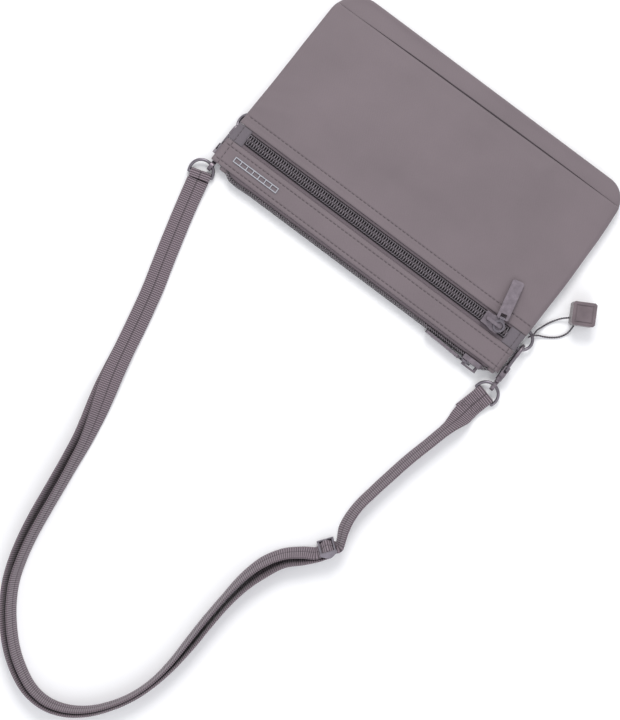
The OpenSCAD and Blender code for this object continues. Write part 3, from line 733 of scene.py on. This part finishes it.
# ---- Charm cord: two thin strands twisted together ---------------------------
def twisted(name, pts, r, pitch, mat):
    c, s, _ = catmull(pts, 0.22)
    tan = np.gradient(c, axis=0)
    tan /= np.linalg.norm(tan, axis=1)[:, None]
    ref = np.cross(tan[0], (0, 0, 1))
    ref /= np.linalg.norm(ref)
    verts, faces = [], []
    k = 14
    for i in range(len(c)):
        t = tan[i]
        ref = ref - t * np.dot(ref, t)
        ref /= np.linalg.norm(ref)
        v = np.cross(t, ref)
        a0 = 2 * math.pi * s[i] / pitch
        for j in range(k):
            a = 2 * math.pi * j / k
            rr = r * (0.56 + 0.48 * abs(math.cos(a - a0)) ** 0.8)
            verts.append(tuple(c[i] + rr * (ref * math.cos(a) + v * math.sin(a))))
        if i:
            for j in range(k):
                l = (j + 1) % k
                faces.append(((i - 1) * k + j, (i - 1) * k + l, i * k + l, i * k + j))
    n = len(c)
    faces.append(tuple(range(k))[::-1])
    faces.append(tuple((n - 1) * k + j for j in range(k)))
    uvs = [((j % k) / k, s[j // k] / 10.0) for j in range(len(verts))]
    return make_mesh(name, verts, faces, mat, True, uvs), c


charm_line, cc = twisted("charm_twisted_cord", CHARM_ROUTE, 0.55, 2.9, mat_cord)
finish_piece(charm_line, "charm", "cord", "charm_cord")


# ---- Pouch fabric -----------------------------------------------------------
HALF, YB, YT, RL, RR = 106.4, -69.0, 65.0, 15.0, 20.0
WIN_LO, WIN_HI = 37.1, 48.8


def left_edge(y):
    """Outer edge of the fabric on the left, at height y."""
    e = np.interp(y, [-54, -35, 0, 30, 63], [-105.9, -107.2, -107.6, -107.0, -106.4])
    if y < YB + RL:
        c = -105.9 + RL
        e = c - math.sqrt(max(RL * RL - (YB + RL - y) ** 2, 0.0))
    return float(e) + 0.22 * nz(y / 19.0, 3.1)


def right_edge(y):
    e = np.interp(y, [-49, 0, 40, 63], [104.4, 105.8, 107.4, 108.0])
    if y < YB + RR:
        c = 104.4 - RR
        e = c + math.sqrt(max(RR * RR - (YB + RR - y) ** 2, 0.0))
    return float(e) + 0.22 * nz(y / 21.0, 8.7)


def outline_ring(d, y_top, cut=False):
    """Points round the pouch, inset by d. cut leaves the room that the rings and
    hooks need under the fabric at both sides."""
    bl, br = max(RL - d, 1.5), max(RR - d, 1.5)
    yb, yt = YB + d, y_top - d
    xl, xr = -HALF + d, HALF + 1.6 - d
    pts = []

    def arc(cx, cy, r, a0, a1, n):
        for k in range(n):
            a = math.radians(a0 + (a1 - a0) * k / n)
            pts.append([cx + r * math.cos(a), cy + r * math.sin(a)])

    def line(anchors, n):
        a = np.array(anchors, float)
        s = np.concatenate([[0], np.cumsum(np.linalg.norm(np.diff(a, axis=0), axis=1))])
        for k in range(n):
            q = s[-1] * k / n
            pts.append([float(np.interp(q, s, a[:, 0])), float(np.interp(q, s, a[:, 1]))])

    sc = clamp((yt - yb) / (y_top - YB))
    ym = lambda y: yb + (y - YB) * sc
    arc(xl + bl + 0.5, yb + bl, bl, 180, 270, 14)
    line([(xl + bl + 0.5, yb), (xr - br - 3.6, yb)], 70)
    arc(xr - br - 3.6, yb + br, br, 270, 360, 16)
    line([(xr - 3.6, yb + br), (xr - 2.2, max(ym(0), yb + br + 0.1)), (xr - 0.6, max(ym(40), yb + br + 0.2)),
          (xr - 0.3, yt - 1)], 60)
    arc(xr - 1.3, yt - 1, 1.0, 0, 90, 4)
    line([(xr - 1.3, yt), (xl + 1, yt)], 70)
    arc(xl + 1, yt - 1, 1.0, 90, 180, 4)
    line([(xl, yt - 1), (xl - 0.6, max(ym(30), yb + bl + 0.3)), (xl - 1.2, max(ym(0), yb + bl + 0.2)),
          (xl - 0.8, max(ym(-35), yb + bl + 0.1)), (xl + 0.5, yb + bl)], 60)
    out = []
    for x, y in pts:
        x += 0.16 * nz(x / 15.0, y / 15.0, 2.0)
        if cut:
            k = smooth(24.6, 27.2, y)
            x = min(x, 130 * (1 - k) + 98.4 * k if k < 1 else 98.4)
            k = smooth(28.4, 31.0, y) * (1 - smooth(48.8, 51.4, y))
            x = max(x, -130 * (1 - k) - 102.3 * k if k < 1 else -102.3)
        out.append((x, y))
    return out


def shell(name, profile, y_top, mat, cut, caps, height=None):
    """A closed sewn shell: rings of (inset, z), from the lower cap outwards and
    round to the upper cap. caps are the last insets of the lower and upper faces."""
    rings = []
    lo, hi = caps
    zl, zh = profile[0][1], profile[-1][1]
    d = lo
    inner = []
    while d > profile[0][0] + 1.0:
        inner.append((d, zl))
        d -= 2.6
    rings += inner + list(profile)
    d = profile[-1][0] + 2.6
    while d < hi:
        rings.append((d, zh))
        d += 2.6
    verts, faces = [], []
    n = None
    for k, (d, z) in enumerate(rings):
        pts = outline_ring(d, y_top, cut)
        n = len(pts)
        top_side = k >= len(inner) + len(profile) - 3
        for x, y in pts:
            zz = z
            if height is not None:
                zz = height(x, y, z, d, top_side)
            verts.append((x, y, zz))
        if k:
            b0, b1 = (k - 1) * n, k * n
            for j in range(n):
                l = (j + 1) % n
                faces.append((b0 + j, b0 + l, b1 + l, b1 + j))
    faces.append(tuple(range(n))[::-1])
    faces.append(tuple((len(rings) - 1) * n + j for j in range(n)))
    return make_mesh(name, verts, faces, mat)


def strip_wave(x, y, z, d, top_side):
    """Loose waviness of the strip below the pocket's fold."""
    if z < 5.0:
        return z
    k = smooth(0.0, 3.0, d)
    w = 0.42 * math.sin(x / 17.0 + 0.6) * math.sin((y + 69) / 4.2) + 0.5 * nz(x / 26.0, y / 9.0, 1.5)
    w += 0.5 * math.exp(-((x + 78) / 9.0) ** 2) * math.exp(-((y + 62) / 3.5) ** 2)
    w *= smooth(-56.5, -58.5, y)
    drop = 0.75 * smooth(-50, -69, y)
    return z + k * (w * 0.8 - drop) if top_side else z - 0.25 * smooth(-50, -69, y)


back_profile = [(6.0, 0.03), (3.0, 0.04), (1.7, 0.14), (0.9, 0.5), (0.35, 1.2), (0.12, 2.2),
                (0.2, 3.0), (0.55, 3.55), (1.2, 3.75), (2.6, 3.8)]
back_shell = shell("pouch_back_shell", back_profile, 63.6, mat_nylon_back, True, (60, 8))
finish_piece(back_shell, "pouch", "nylon", "back_panel", "main_lining")

front_profile = [(2.6, 3.9), (1.1, 3.95), (0.45, 4.2), (0.1, 4.8), (0.0, 5.6), (0.08, 6.5),
                 (0.4, 7.25), (1.0, 7.65), (1.9, 7.82), (3.2, 7.84), (5.0, 7.84)]
front_shell = shell("pouch_front_shell", front_profile, 56.0, mat_nylon, True, (9, 60), strip_wave)
finish_piece(front_shell, "pouch", "nylon", "front_base_panel", "pocket_lining")


GROOVES = {"front": [31.1], "strip": [62.3, 52.1]}


def panel(name, y0f, y1f, xlf, xrf, ztop, thick, mat, rows, grooves=(), side_drop=1.25, bot_roll=0.7,
          top_roll=0.5, vgrooves=(), side_in=2.6):
    """A flat sewn panel of doubled fabric, with rolled edges, a topstitch groove at
    each height in grooves, and a soft turn down at both sides."""
    ts = [0.0]
    span = y1f(0) - y0f(0)
    marks = set()
    for dlt in (0.12, 0.35, 0.7, 1.2, 2.0, 3.0):
        marks.add(dlt / span)
        marks.add(1 - dlt / span)
    for g in grooves:
        for dd in (-1.4, -0.8, -0.45, -0.22, 0, 0.22, 0.45, 0.8, 1.4):
            marks.add((g + dd - y0f(0)) / span)
    for k in range(1, rows):
        marks.add(k / rows)
    marks = sorted(t for t in marks if 0.0 < t < 1.0)
    for t in marks:
        if (t - ts[-1]) * span > 0.1:
            ts.append(t)
    if (1 - ts[-1]) * span < 0.08:
        ts.pop()
    ts.append(1.0)
    ds = [0, 0.12, 0.35, 0.75, 1.3, 2.0, 3.0, 4.4]
    cols = [("l", d) for d in ds]
    nmid = 92
    for k in range(1, nmid):
        cols.append(("m", k / nmid))
    for g in vgrooves:
        for dd in (-0.8, -0.4, -0.2, 0, 0.2, 0.4, 0.8):
            cols.append(("x", g + dd))
    cols += [("r", d) for d in ds[::-1]]

    def xof(c, y):
        xl, xr = xlf(y), xrf(y)
        if c[0] == "l":
            return xl + c[1]
        if c[0] == "r":
            return xr - c[1]
        if c[0] == "x":
            return c[1]
        return xl + 5.6 + (xr - xl - 11.2) * c[1]

    ym = 0.5 * (y0f(0) + y1f(0))
    cols.sort(key=lambda c: xof(c, ym))
    keep, last = [], None
    for c in cols:
        x = xof(c, ym)
        if last is None or x - last > 0.09:
            keep.append(c)
            last = x
    cols = keep
    nc, nr = len(cols), len(ts)
    top, bot = [], []
    for t in ts:
        for c in cols:
            y = y0f(0) + (y1f(0) - y0f(0)) * t
            x = xof(c, y)
            y = y0f(x) + (y1f(x) - y0f(x)) * t
            x = xof(c, y)
            z = ztop(x, y)
            ddx = min(x - xlf(y), xrf(y) - x)
            d0, d1 = y - y0f(x), y1f(x) - y
            z -= side_drop * (1 - smooth(0, side_in, ddx)) ** 1.6
            if d0 < 1.2:
                z -= bot_roll * (1 - math.sqrt(max(0, 1 - (1 - d0 / 1.2) ** 2)))
            if d1 < 0.9:
                z -= top_roll * (1 - math.sqrt(max(0, 1 - (1 - d1 / 0.9) ** 2)))
            for g in grooves:
                z -= 0.26 * math.exp(-((y - g) / 0.34) ** 2)
                z += 0.1 * math.exp(-((abs(y - g) - 1.1) / 0.6) ** 2)
            for g in vgrooves:
                z -= 0.22 * math.exp(-((x - g) / 0.3) ** 2)
            top.append((x, y, z))
            edge = min(ddx, d0, d1)
            bz = min(z - 0.25, ztop(x, y) - thick + 0.35 * (1 - smooth(0, 0.8, edge)))
            bot.append((x, y, bz))
    faces = []
    o = nr * nc
    for i in range(nr - 1):
        for j in range(nc - 1):
            a, b, c, d = i * nc + j, i * nc + j + 1, (i + 1) * nc + j + 1, (i + 1) * nc + j
            faces.append((a, b, c, d))
            faces.append((o + d, o + c, o + b, o + a))
    for i in range(nr - 1):
        a, d = i * nc, (i + 1) * nc
        faces.append((a, d, o + d, o + a))
        a, d = i * nc + nc - 1, (i + 1) * nc + nc - 1
        faces.append((d, a, o + a, o + d))
    for j in range(nc - 1):
        faces.append((j + 1, j, o + j, o + j + 1))
        a = (nr - 1) * nc + j
        faces.append((a, a + 1, o + a + 1, o + a))
    return make_mesh(name, top + bot, faces, mat)


def crease(x, y, x0, y0, ang, length, width, h):
    """A soft ridge that starts at a point and fades along its direction."""
    a = math.radians(ang)
    u = (x - x0) * math.cos(a) + (y - y0) * math.sin(a)
    v = -(x - x0) * math.sin(a) + (y - y0) * math.cos(a)
    if u < -width or u > length:
        return 0.0
    f = smooth(-width, width, u) * (1 - smooth(length * 0.45, length, u))
    return h * f * math.exp(-(v / (width * (0.6 + 0.8 * clamp(u / length)))) ** 2)


def front_z(x, y):
    z = 9.0
    mid = smooth(14, 0, y) * smooth(-57, -46, y)
    z += mid * (0.5 * (1 - (x / 112.0) ** 2) + 0.42 * nz(x / 38.0, y / 30.0, 5.0)
                + 0.16 * nz(x / 15.0, y / 13.0, 9.0))
    z += 0.12 * nz(x / 20.0, y / 9.0, 12.0)
    z += 0.58 * crease(x, y, -107, 24, -24, 42, 3.0, 1.0)
    z -= 0.48 * crease(x, y, -107, 16, -30, 48, 3.6, 1.0)
    z += 0.26 * crease(x, y, 107, 25, 205, 40, 3.2, 1.0)
    z -= 0.22 * crease(x, y, 107, 14, 212, 46, 4.0, 1.0)
    z += 0.40 * crease(x, y, -60, -57, 62, 22, 4.0, 1.0)
    z -= 0.22 * crease(x, y, 34, -57, 100, 20, 5.0, 1.0)
    z += 0.24 * crease(x, y, 88, -52, 130, 26, 4.0, 1.0)
    # step where the seam allowance ends under the window's lower lip
    z -= 0.16 * smooth(35.2, 34.4, y)
    # the lower fold lifts a little in the middle
    z += 0.25 * smooth(-50, -57, y) * (1 - (x / 106) ** 2)
    return z


def fold_line(x):
    return -57.8 + 2.4 * (x + 106.4) / 212.8 + 0.12 * nz(x / 24.0, 4.0)


def lip_lo(x):
    return WIN_LO + 0.08 * nz(x / 12.0, 6.0)


front_skin = panel("front_pocket_skin", fold_line, lip_lo, lambda y: left_edge(y) + 0.15,
                   lambda y: right_edge(y) - 0.15, front_z, 1.0, mat_nylon, 54, GROOVES["front"])
finish_piece(front_skin, "pouch", "nylon", "front_panel")


# a dark strip painted as the shadow in the gap under the pocket's fold, widest in the middle: it stands in for
# shade, not for a binding
shell_tree = BVHTree.FromObject(front_shell, bpy.context.evaluated_depsgraph_get())
verts, faces = [], []
n = 110
for i in range(n + 1):
    x = -103.0 + 206.0 * i / n
    w = 0.16 + 0.62 * clamp(1 - ((x + 6) / 92.0) ** 2) ** 0.8 + 0.06 * nz(x / 11.0, 71.0)
    y = fold_line(x) - 0.55 * w
    hit = shell_tree.ray_cast(Vector((x * MM, y * MM, 0.03)), Vector((0, 0, -1)))[0]
    zt = (hit.z / MM if hit is not None else 8.2) + 0.16
    for dy, dz in ((-w, -0.3), (-w * 0.8, -0.04), (0, 0.1), (w * 0.8, -0.04), (w, -0.3), (0, -0.45)):
        verts.append((x, y + dy, zt + dz))
    if i:
        for k in range(6):
            l = (k + 1) % 6
            faces.append(((i - 1) * 6 + k, (i - 1) * 6 + l, i * 6 + l, i * 6 + k))
faces.append(tuple(range(6))[::-1])
faces.append(tuple(n * 6 + k for k in range(6)))
finish_piece(make_mesh("pocket_fold_gap_painted_shadow", verts, faces, mat_fold_gap_shadow), "pouch", "nylon")


def strip_z(x, y):
    z = 9.0 + 0.10 * nz(x / 17.0, y / 7.0, 21.0)
    z += 0.16 * math.sin(math.pi * clamp((y - 52.1) / 10.2)) * (1 - smooth(58, 62, abs(x - 80)) if x > 60 else 1)
    if x > 60 and 53 < y < 61:
        z = min(z, 9.0)
    z -= 0.12 * smooth(50.6, 50.0, y)
    return z


def lip_hi(x):
    return WIN_HI + 0.08 * nz(x / 13.0, 16.0)


def top_fold(x):
    return YT + 0.14 * nz(x / 22.0, 26.0)


strip_skin = panel("top_strip_skin", lip_hi, top_fold, lambda y: left_edge(y) + 0.1,
                   lambda y: right_edge(y) - 0.1, strip_z, 1.0, mat_nylon, 12, GROOVES["strip"],
                   bot_roll=0.5, top_roll=0.8, vgrooves=(-103.0, 103.2))
finish_piece(strip_skin, "pouch", "nylon", "top_strip")

patch_l = panel("zip_patch_left_skin", lambda x: 37.25, lambda x: 48.65, lambda y: left_edge(y) + 0.25,
                lambda y: -96.4 + 0.1 * nz(y / 5.0, 31.0), lambda x, y: 8.8, 0.8, mat_patch, 10, (),
                side_drop=0.5, side_in=1.4, vgrooves=(-103.0,))
finish_piece(patch_l, "pouch", "nylon", "zip_patch_left")
patch_r = panel("zip_patch_right_skin", lambda x: 37.25, lambda x: 48.65,
                lambda y: 97.4 + 0.1 * nz(y / 5.0, 33.0), lambda y: right_edge(y) - 0.25,
                lambda x, y: 8.8, 0.8, mat_patch, 10, (), side_drop=0.5, side_in=1.4, vgrooves=(103.2,))
finish_piece(patch_r, "pouch", "nylon", "zip_patch_right")


# ---- Topstitching -----------------------------------------------------------
st = Soup()


def horizontal(y, x0, x1, zf, dz=-0.12):
    n = int((x1 - x0) / 2)
    stitch_line(st, [(x0 + (x1 - x0) * k / n, y, zf(x0 + (x1 - x0) * k / n, y) + dz)
                     for k in range(n + 1)], lift=0.1, r=0.19)


horizontal(31.1, -105.6, 104.6, front_z)
horizontal(62.3, -104.6, 106.2, strip_z)
horizontal(52.1, -104.9, 105.9, strip_z)
for gx_ in (-103.0, 103.2):
    for y0, y1 in ((49.3, 51.6), (52.6, 61.8), (62.8, 64.6)):
        stitch_line(st, [(gx_, y0, 8.9), (gx_, y1, 8.9)], pitch=2.6, length=2.0, lift=0.1, r=0.18)
    stitch_line(st, [(gx_, 37.6, 8.7), (gx_, 48.3, 8.7)], pitch=2.6, length=2.0, lift=0.1, r=0.18)
stitches = st.build("pouch_topstitching", mat_thread_dark)
finish_piece(stitches, "pouch", "nylon")


# ---- Fabric loops round the side rings' bars ---------------------------------
def fabric_loop(name, origin, y0, y1, out, r_in, legs, mat, node):
    """A strip of fabric folded round a bar that runs along Y; out is +1 or -1, the
    side that the fold is on. Both legs run into the seam."""
    path = [(-out * legs, 0.2)] + [(-out * legs * k, 0.3 + 0.55 * (1 - k)) for k in (0.8, 0.55)]
    path += [(out * r_in * math.cos(math.radians(a)), r_in * math.sin(math.radians(a)))
             for a in (115, 90, 60, 30, 0, -30, -60, -90, -115)]
    path += [(-out * legs * k, -0.3 - 0.55 * (1 - k)) for k in (0.55, 0.8)] + [(-out * legs, -0.2)]
    p = np.array(path)
    nrm = np.gradient(p, axis=0)
    nrm = np.stack([nrm[:, 1], -nrm[:, 0]], 1)
    nrm /= np.linalg.norm(nrm, axis=1)[:, None]
    mid = np.array([0.0, 0.0])
    if np.dot(nrm[len(p) // 2], p[len(p) // 2] - mid) < 0:
        nrm = -nrm
    t = 0.62
    loop = [tuple(a) for a in p + nrm * t] + [tuple(a) for a in (p + nrm * 0.02)[::-1]]
    m = len(loop)
    verts, faces = [], []
    ys = [y0, y0 + 0.15, y0 + 0.5]
    k = 10
    ys += [y0 + 0.5 + (y1 - y0 - 1.0) * i / k for i in range(1, k)] + [y1 - 0.5, y1 - 0.15, y1]
    for i, y in enumerate(ys):
        e = min(y - y0, y1 - y)
        sh = 1.0 - 0.10 * (1 - smooth(0, 0.6, e))
        for q, (a, b) in enumerate(loop):
            w = 0.06 * nz(y / 1.7, q / 3.0, 40.0)
            verts.append((origin[0] + a * sh, y, origin[2] + b * (sh + w)))
        if i:
            for j in range(m):
                l = (j + 1) % m
                faces.append(((i - 1) * m + j, (i - 1) * m + l, i * m + l, i * m + j))
    faces.append(tuple(range(m))[::-1])
    faces.append(tuple((len(ys) - 1) * m + j for j in range(m)))
    ob = make_mesh(name, verts, faces, mat)
    return finish_piece(ob, "pouch", "nylon", node)


fabric_loop("side_loop_left", (-105, 40, 5), 35.5, 44.5, -1, 1.02, 2.4, mat_nylon, "side_tab_left")
fabric_loop("side_loop_right", (101.9, 35.4, 5.2), 30.9, 36.4, 1, 1.02, 3.2, mat_nylon, "side_tab_right")


# ---- Zips -------------------------------------------------------------------
Z_COIL, TOP_Y, TOP_Z = 7.9, 66.9, 4.95


def coil_piece(name, x0, x1, s, place, mat, phase):
    """One row of a coil zip: a wire wound in flattened loops whose heads cross the
    centre line. place(x, y, z) puts a point of the chain's own frame in the part."""
    pitch = 1.62
    turns = int((x1 - x0) / pitch)
    sides, per = 7, 14
    n = turns * per
    pts = []
    for i in range(n + 1):
        th = 2 * math.pi * i / per
        # the wire steps on to the next loop at its outer turn
        x = x0 + phase + pitch * (i // per + smooth(0.36, 0.64, (i % per) / per))
        y = s * (1.42 - 1.62 * math.cos(th))
        z = 1.12 + 0.76 * math.sin(th)
        pts.append(place(x, y, z))
    so = Soup()
    so.tube(pts, 0.34, sides, up=(1, 0, 0.02))
    ob = so.build(name, mat)
    return ob


def chain_threads(name, x0, x1, place, mat):
    """One sewing thread on each row that holds the coil to its tape."""
    so = Soup()
    for s in (-1, 1):
        for yy in (2.35,):
            pts = []
            n = int((x1 - x0) / 0.33)
            for i in range(n + 1):
                x = x0 + (x1 - x0) * i / n
                pts.append(place(x, s * (yy + 0.05 * math.sin(i * 1.57)), 2.16 + 0.05 * math.cos(i * 1.57)))
            so.tube(pts, 0.1, 5)
    return so.build(name, mat)


def front_place(x, y, z):
    return (x, 42.6 + y, Z_COIL + z)


def top_dy(x):
    """The top zip's slight rise before its right end, and its turned-in ends."""
    return (0.5 * math.exp(-((x - 85.5) / 6.0) ** 2) - 2.6 * smooth(91.0, 97.5, x)
            - 2.4 * smooth(-97.3, -102.0, x))


def top_place(x, y, z):
    return (x, TOP_Y + z + top_dy(x), TOP_Z - y)


fz0, fz1 = -96.2, 97.2
for s, node in ((1, "front_zip_coil_upper"), (-1, "front_zip_coil_lower")):
    ob = coil_piece(node + "_loops", fz0, fz1 - 0.6, s, front_place, mat_coil, 0.81 if s < 0 else 0.0)
    finish_piece(ob, "pouch", "zip_coil", node)
for s, node in ((-1, "top_zip_coil_front"), (1, "top_zip_coil_back")):
    ob = coil_piece(node + "_loops", -101.0, 96.4, s, top_place, mat_coil_top, 0.81 if s < 0 else 0.0)
    finish_piece(ob, "pouch", "zip_coil", node)
finish_piece(chain_threads("front_zip_threads", fz0, fz1, front_place, mat_chain_thread), "pouch", "zip_tape")
finish_piece(chain_threads("top_zip_threads", -101.0, 96.6, top_place, mat_chain_thread), "pouch", "zip_tape")


def tape_z(x, y):
    return 7.9 + 0.03 * math.sin(x * 5.3) * smooth(3.4, 4.2, abs(y - 42.6))


for y0, y1, node in ((43.5, 54.2, "front_zip_tape_upper"), (31.0, 41.7, "front_zip_tape_lower")):
    ob = panel(node + "_weave", lambda x, v=y0: v, lambda x, v=y1: v, lambda y: -102.4, lambda y: 103.4,
               tape_z, 0.6, mat_tape_front, 14, (), side_drop=0.1, bot_roll=0.2, top_roll=0.2)
    finish_piece(ob, "pouch", "zip_tape", node)


def bent_tape(name, prof, x0, x1, mat, node, follow):
    """A zip tape bent along its length: prof is the middle line in YZ."""
    p = np.array(prof, float)
    nrm = np.gradient(p, axis=0)
    nrm = np.stack([nrm[:, 1], -nrm[:, 0]], 1)
    nrm /= np.linalg.norm(nrm, axis=1)[:, None]
    t = 0.29
    loop = [tuple(a) for a in p + nrm * t] + [tuple(a) for a in (p - nrm * t)[::-1]]
    m = len(loop)
    n = 150
    verts, faces = [], []
    for i in range(n + 1):
        x = x0 + (x1 - x0) * i / n
        dy = top_dy(x)
        for y, z in loop:
            k = smooth(63.5, 66.0, y) if follow else 0
            verts.append((x, y + dy * k, z + 0.05 * nz(x / 9.0, z, 50.0)))
        if i:
            for j in range(m):
                l = (j + 1) % m
                faces.append(((i - 1) * m + j, (i - 1) * m + l, i * m + l, i * m + j))
    faces.append(tuple(range(m))[::-1])
    faces.append(tuple(n * m + j for j in range(m)))
    ob = make_mesh(name, verts, faces, mat)
    sharp_by_angle(ob, 60)
    return finish_piece(ob, "pouch", "zip_tape", node)


bent_tape("top_zip_tape_front_weave",
          [(57, 7.6), (59, 7.6), (61, 7.6), (63.2, 7.6), (64.6, 7.58), (65.6, 7.45), (66.25, 7.1),
           (66.58, 6.6), (66.6, 6.1), (66.6, 5.66)], -102.0, 97.0, mat_tape, "top_zip_tape_front", True)
bent_tape("top_zip_tape_back_weave",
          [(66.6, 4.2), (66.6, 3.4), (66.58, 2.6), (66.3, 2.0), (65.7, 1.6), (64.7, 1.42), (63.2, 1.4),
           (60, 1.4), (57, 1.4)], -102.0, 97.0, mat_tape, "top_zip_tape_back", True)

# folded ends that cover the top zip at both corners
for nm, xa, xb, sl in (("top_zip_end_left", -104.6, -99.6, 1), ("top_zip_end_right", 95.4, 100.6, -1)):
    verts, faces = [], []
    nx, na = 12, 22
    for i in range(nx + 1):
        u = i / nx
        x = xa + (xb - xa) * u
        e = min(u, 1 - u)
        f = 0.72 + 0.28 * math.sqrt(clamp(1 - (1 - clamp(e / 0.18)) ** 2))
        for k in range(na):
            a = 2 * math.pi * k / na
            ca_, sa_ = math.cos(a), math.sin(a)
            yy = 64.0 + 3.1 * f * (abs(ca_) ** 0.7) * (1 if ca_ > 0 else -1) + 0.25 * nz(x / 3.0, a, 60.0)
            zz = 4.7 + 2.75 * f * (abs(sa_) ** 0.6) * (1 if sa_ > 0 else -1)
            verts.append((x, yy, zz))
        if i:
            for k in range(na):
                l = (k + 1) % na
                faces.append(((i - 1) * na + k, (i - 1) * na + l, i * na + l, i * na + k))
    faces.append(tuple(range(na))[::-1])
    faces.append(tuple(nx * na + k for k in range(na)))
    ob = make_mesh(nm, verts, faces, mat_nylon)
    finish_piece(ob, "pouch", "nylon")


# ---- Box stitch on the strap's sewn ends ------------------------------------
bs = Soup()


def box_stitch(frame_, x0, x1, y0, y1, zf):
    P = lambda x, y: local(frame_, x, y, zf(x, y))
    for a, b in (((x0, y0), (x1, y0)), ((x1, y0), (x1, y1)), ((x1, y1), (x0, y1)), ((x0, y1), (x0, y0)),
                 ((x0, y0), (x1, y1)), ((x0, y1), (x1, y0))):
        n = 6
        stitch_line(bs, [P(a[0] + (b[0] - a[0]) * k / n, a[1] + (b[1] - a[1]) * k / n) for k in range(n + 1)],
                    pitch=1.9, length=1.5, r=0.17, lift=0.08)


def run_top(x, y):
    """Height of the single strap's upper face over the sewn end, in the ring's frame."""
    return float(np.interp(y, [2.0, 5.0, 9.0, 16.0], [1.85 + 0.62, 1.1 + 0.7, 0.1 + 0.72, 0.1 + 0.75]))


box_stitch(LEFT, -4.6, 4.6, 4.5, 14.0, run_top)
box = bs.build("strap_box_stitch", mat_thread_dark)
finish_piece(box, "pouch", "webbing")

# ---- Hardware: the CAD shapes with better materials and broken edges ---------
LOOKS = {"front_slider": mat_metal, "top_slider": mat_metal, "front_pull_ring": mat_ring,
         "top_pull_ring": mat_ring, "front_pull_tab": mat_metal, "top_pull_tab": mat_metal,
         "side_ring_left": mat_ring, "side_ring_right": mat_ring, "strap_ring_left": mat_ring,
         "strap_ring_right": mat_ring, "hook_body_left": mat_metal, "hook_body_right": mat_metal,
         "hook_gate_left": mat_ring, "hook_gate_right": mat_ring, "gate_pin_left": mat_steel,
         "gate_pin_right": mat_steel, "gate_spring_left": mat_spring, "gate_spring_right": mat_spring,
         "swivel_eye_left": mat_metal, "swivel_eye_right": mat_metal, "tri_glide": mat_ring,
         "badge_bar": mat_badge, "charm_cube": mat_charm}
BEVEL = {"front_slider": 0.3, "top_slider": 0.3, "front_pull_tab": 0.32, "top_pull_tab": 0.32,
         "front_pull_ring": 0.2, "top_pull_ring": 0.2, "hook_body_left": 0.3,
         "hook_gate_left": 0.12, "hook_gate_right": 0.12, "swivel_eye_left": 0.25,
         "swivel_eye_right": 0.25, "tri_glide": 0.2, "badge_bar": 0.16, "charm_cube": 0.45}
for node, mt in LOOKS.items():
    ob = nodes[node]
    if not ob.material_slots:
        ob.data.materials.append(mt)
    for sl in ob.material_slots:
        sl.link = "OBJECT"
        sl.material = mt
    if node in BEVEL:
        bv = ob.modifiers.new("edges", "BEVEL")
        bv.width = BEVEL[node] * MM
        bv.segments = 3
        bv.limit_method = "ANGLE"
        bv.angle_limit = math.radians(38)
        bv.harden_normals = False


# ---- Surroundings -----------------------------------------------------------
floor_mat = Mat("studio_floor", (0.93, 0.93, 0.945), 0.85, 0.0, 0.0, 0.4, 0.15)
fv = floor_mat.coords()
floor_mat.base(floor_mat.ramp(floor_mat.noise(fv, 3.0, 2.0), (0.92, 0.92, 0.935), (0.94, 0.94, 0.955)))
fm = bpy.data.meshes.new("floor")
q = 6.0
fm.from_pydata([(-q, -q, -0.00002), (q, -q, -0.00002), (q, q, -0.00002), (-q, q, -0.00002)], [],
               [(0, 1, 2, 3)])
floor = bpy.data.objects.new("floor", fm)
scene.collection.objects.link(floor)
fm.materials.append(floor_mat.m)

world = bpy.data.worlds.new("studio")
scene.world = world
world.use_nodes = True
world.node_tree.nodes["Background"].inputs["Color"].default_value = (0.97, 0.98, 1.0, 1)
world.node_tree.nodes["Background"].inputs["Strength"].default_value = 0.8


def area(name, loc, target, size, power, color=(1, 1, 1)):
    d = bpy.data.lights.new(name, "AREA")
    d.shape = "DISK"
    d.size = size
    d.energy = power
    d.color = color
    ob = bpy.data.objects.new(name, d)
    scene.collection.objects.link(ob)
    ob.location = loc
    ob.rotation_euler = (Vector(target) - Vector(loc)).to_track_quat("-Z", "Y").to_euler()
    return ob


area("key", (0.55, -0.75, 1.25), (0.0, 0.1, 0.0), 0.75, 13.0, (1.0, 0.99, 0.97))
area("fill", (-0.9, 0.9, 1.3), (0.0, 0.1, 0.0), 1.4, 7.0, (0.95, 0.97, 1.0))
scene.view_settings.view_transform = "Standard"

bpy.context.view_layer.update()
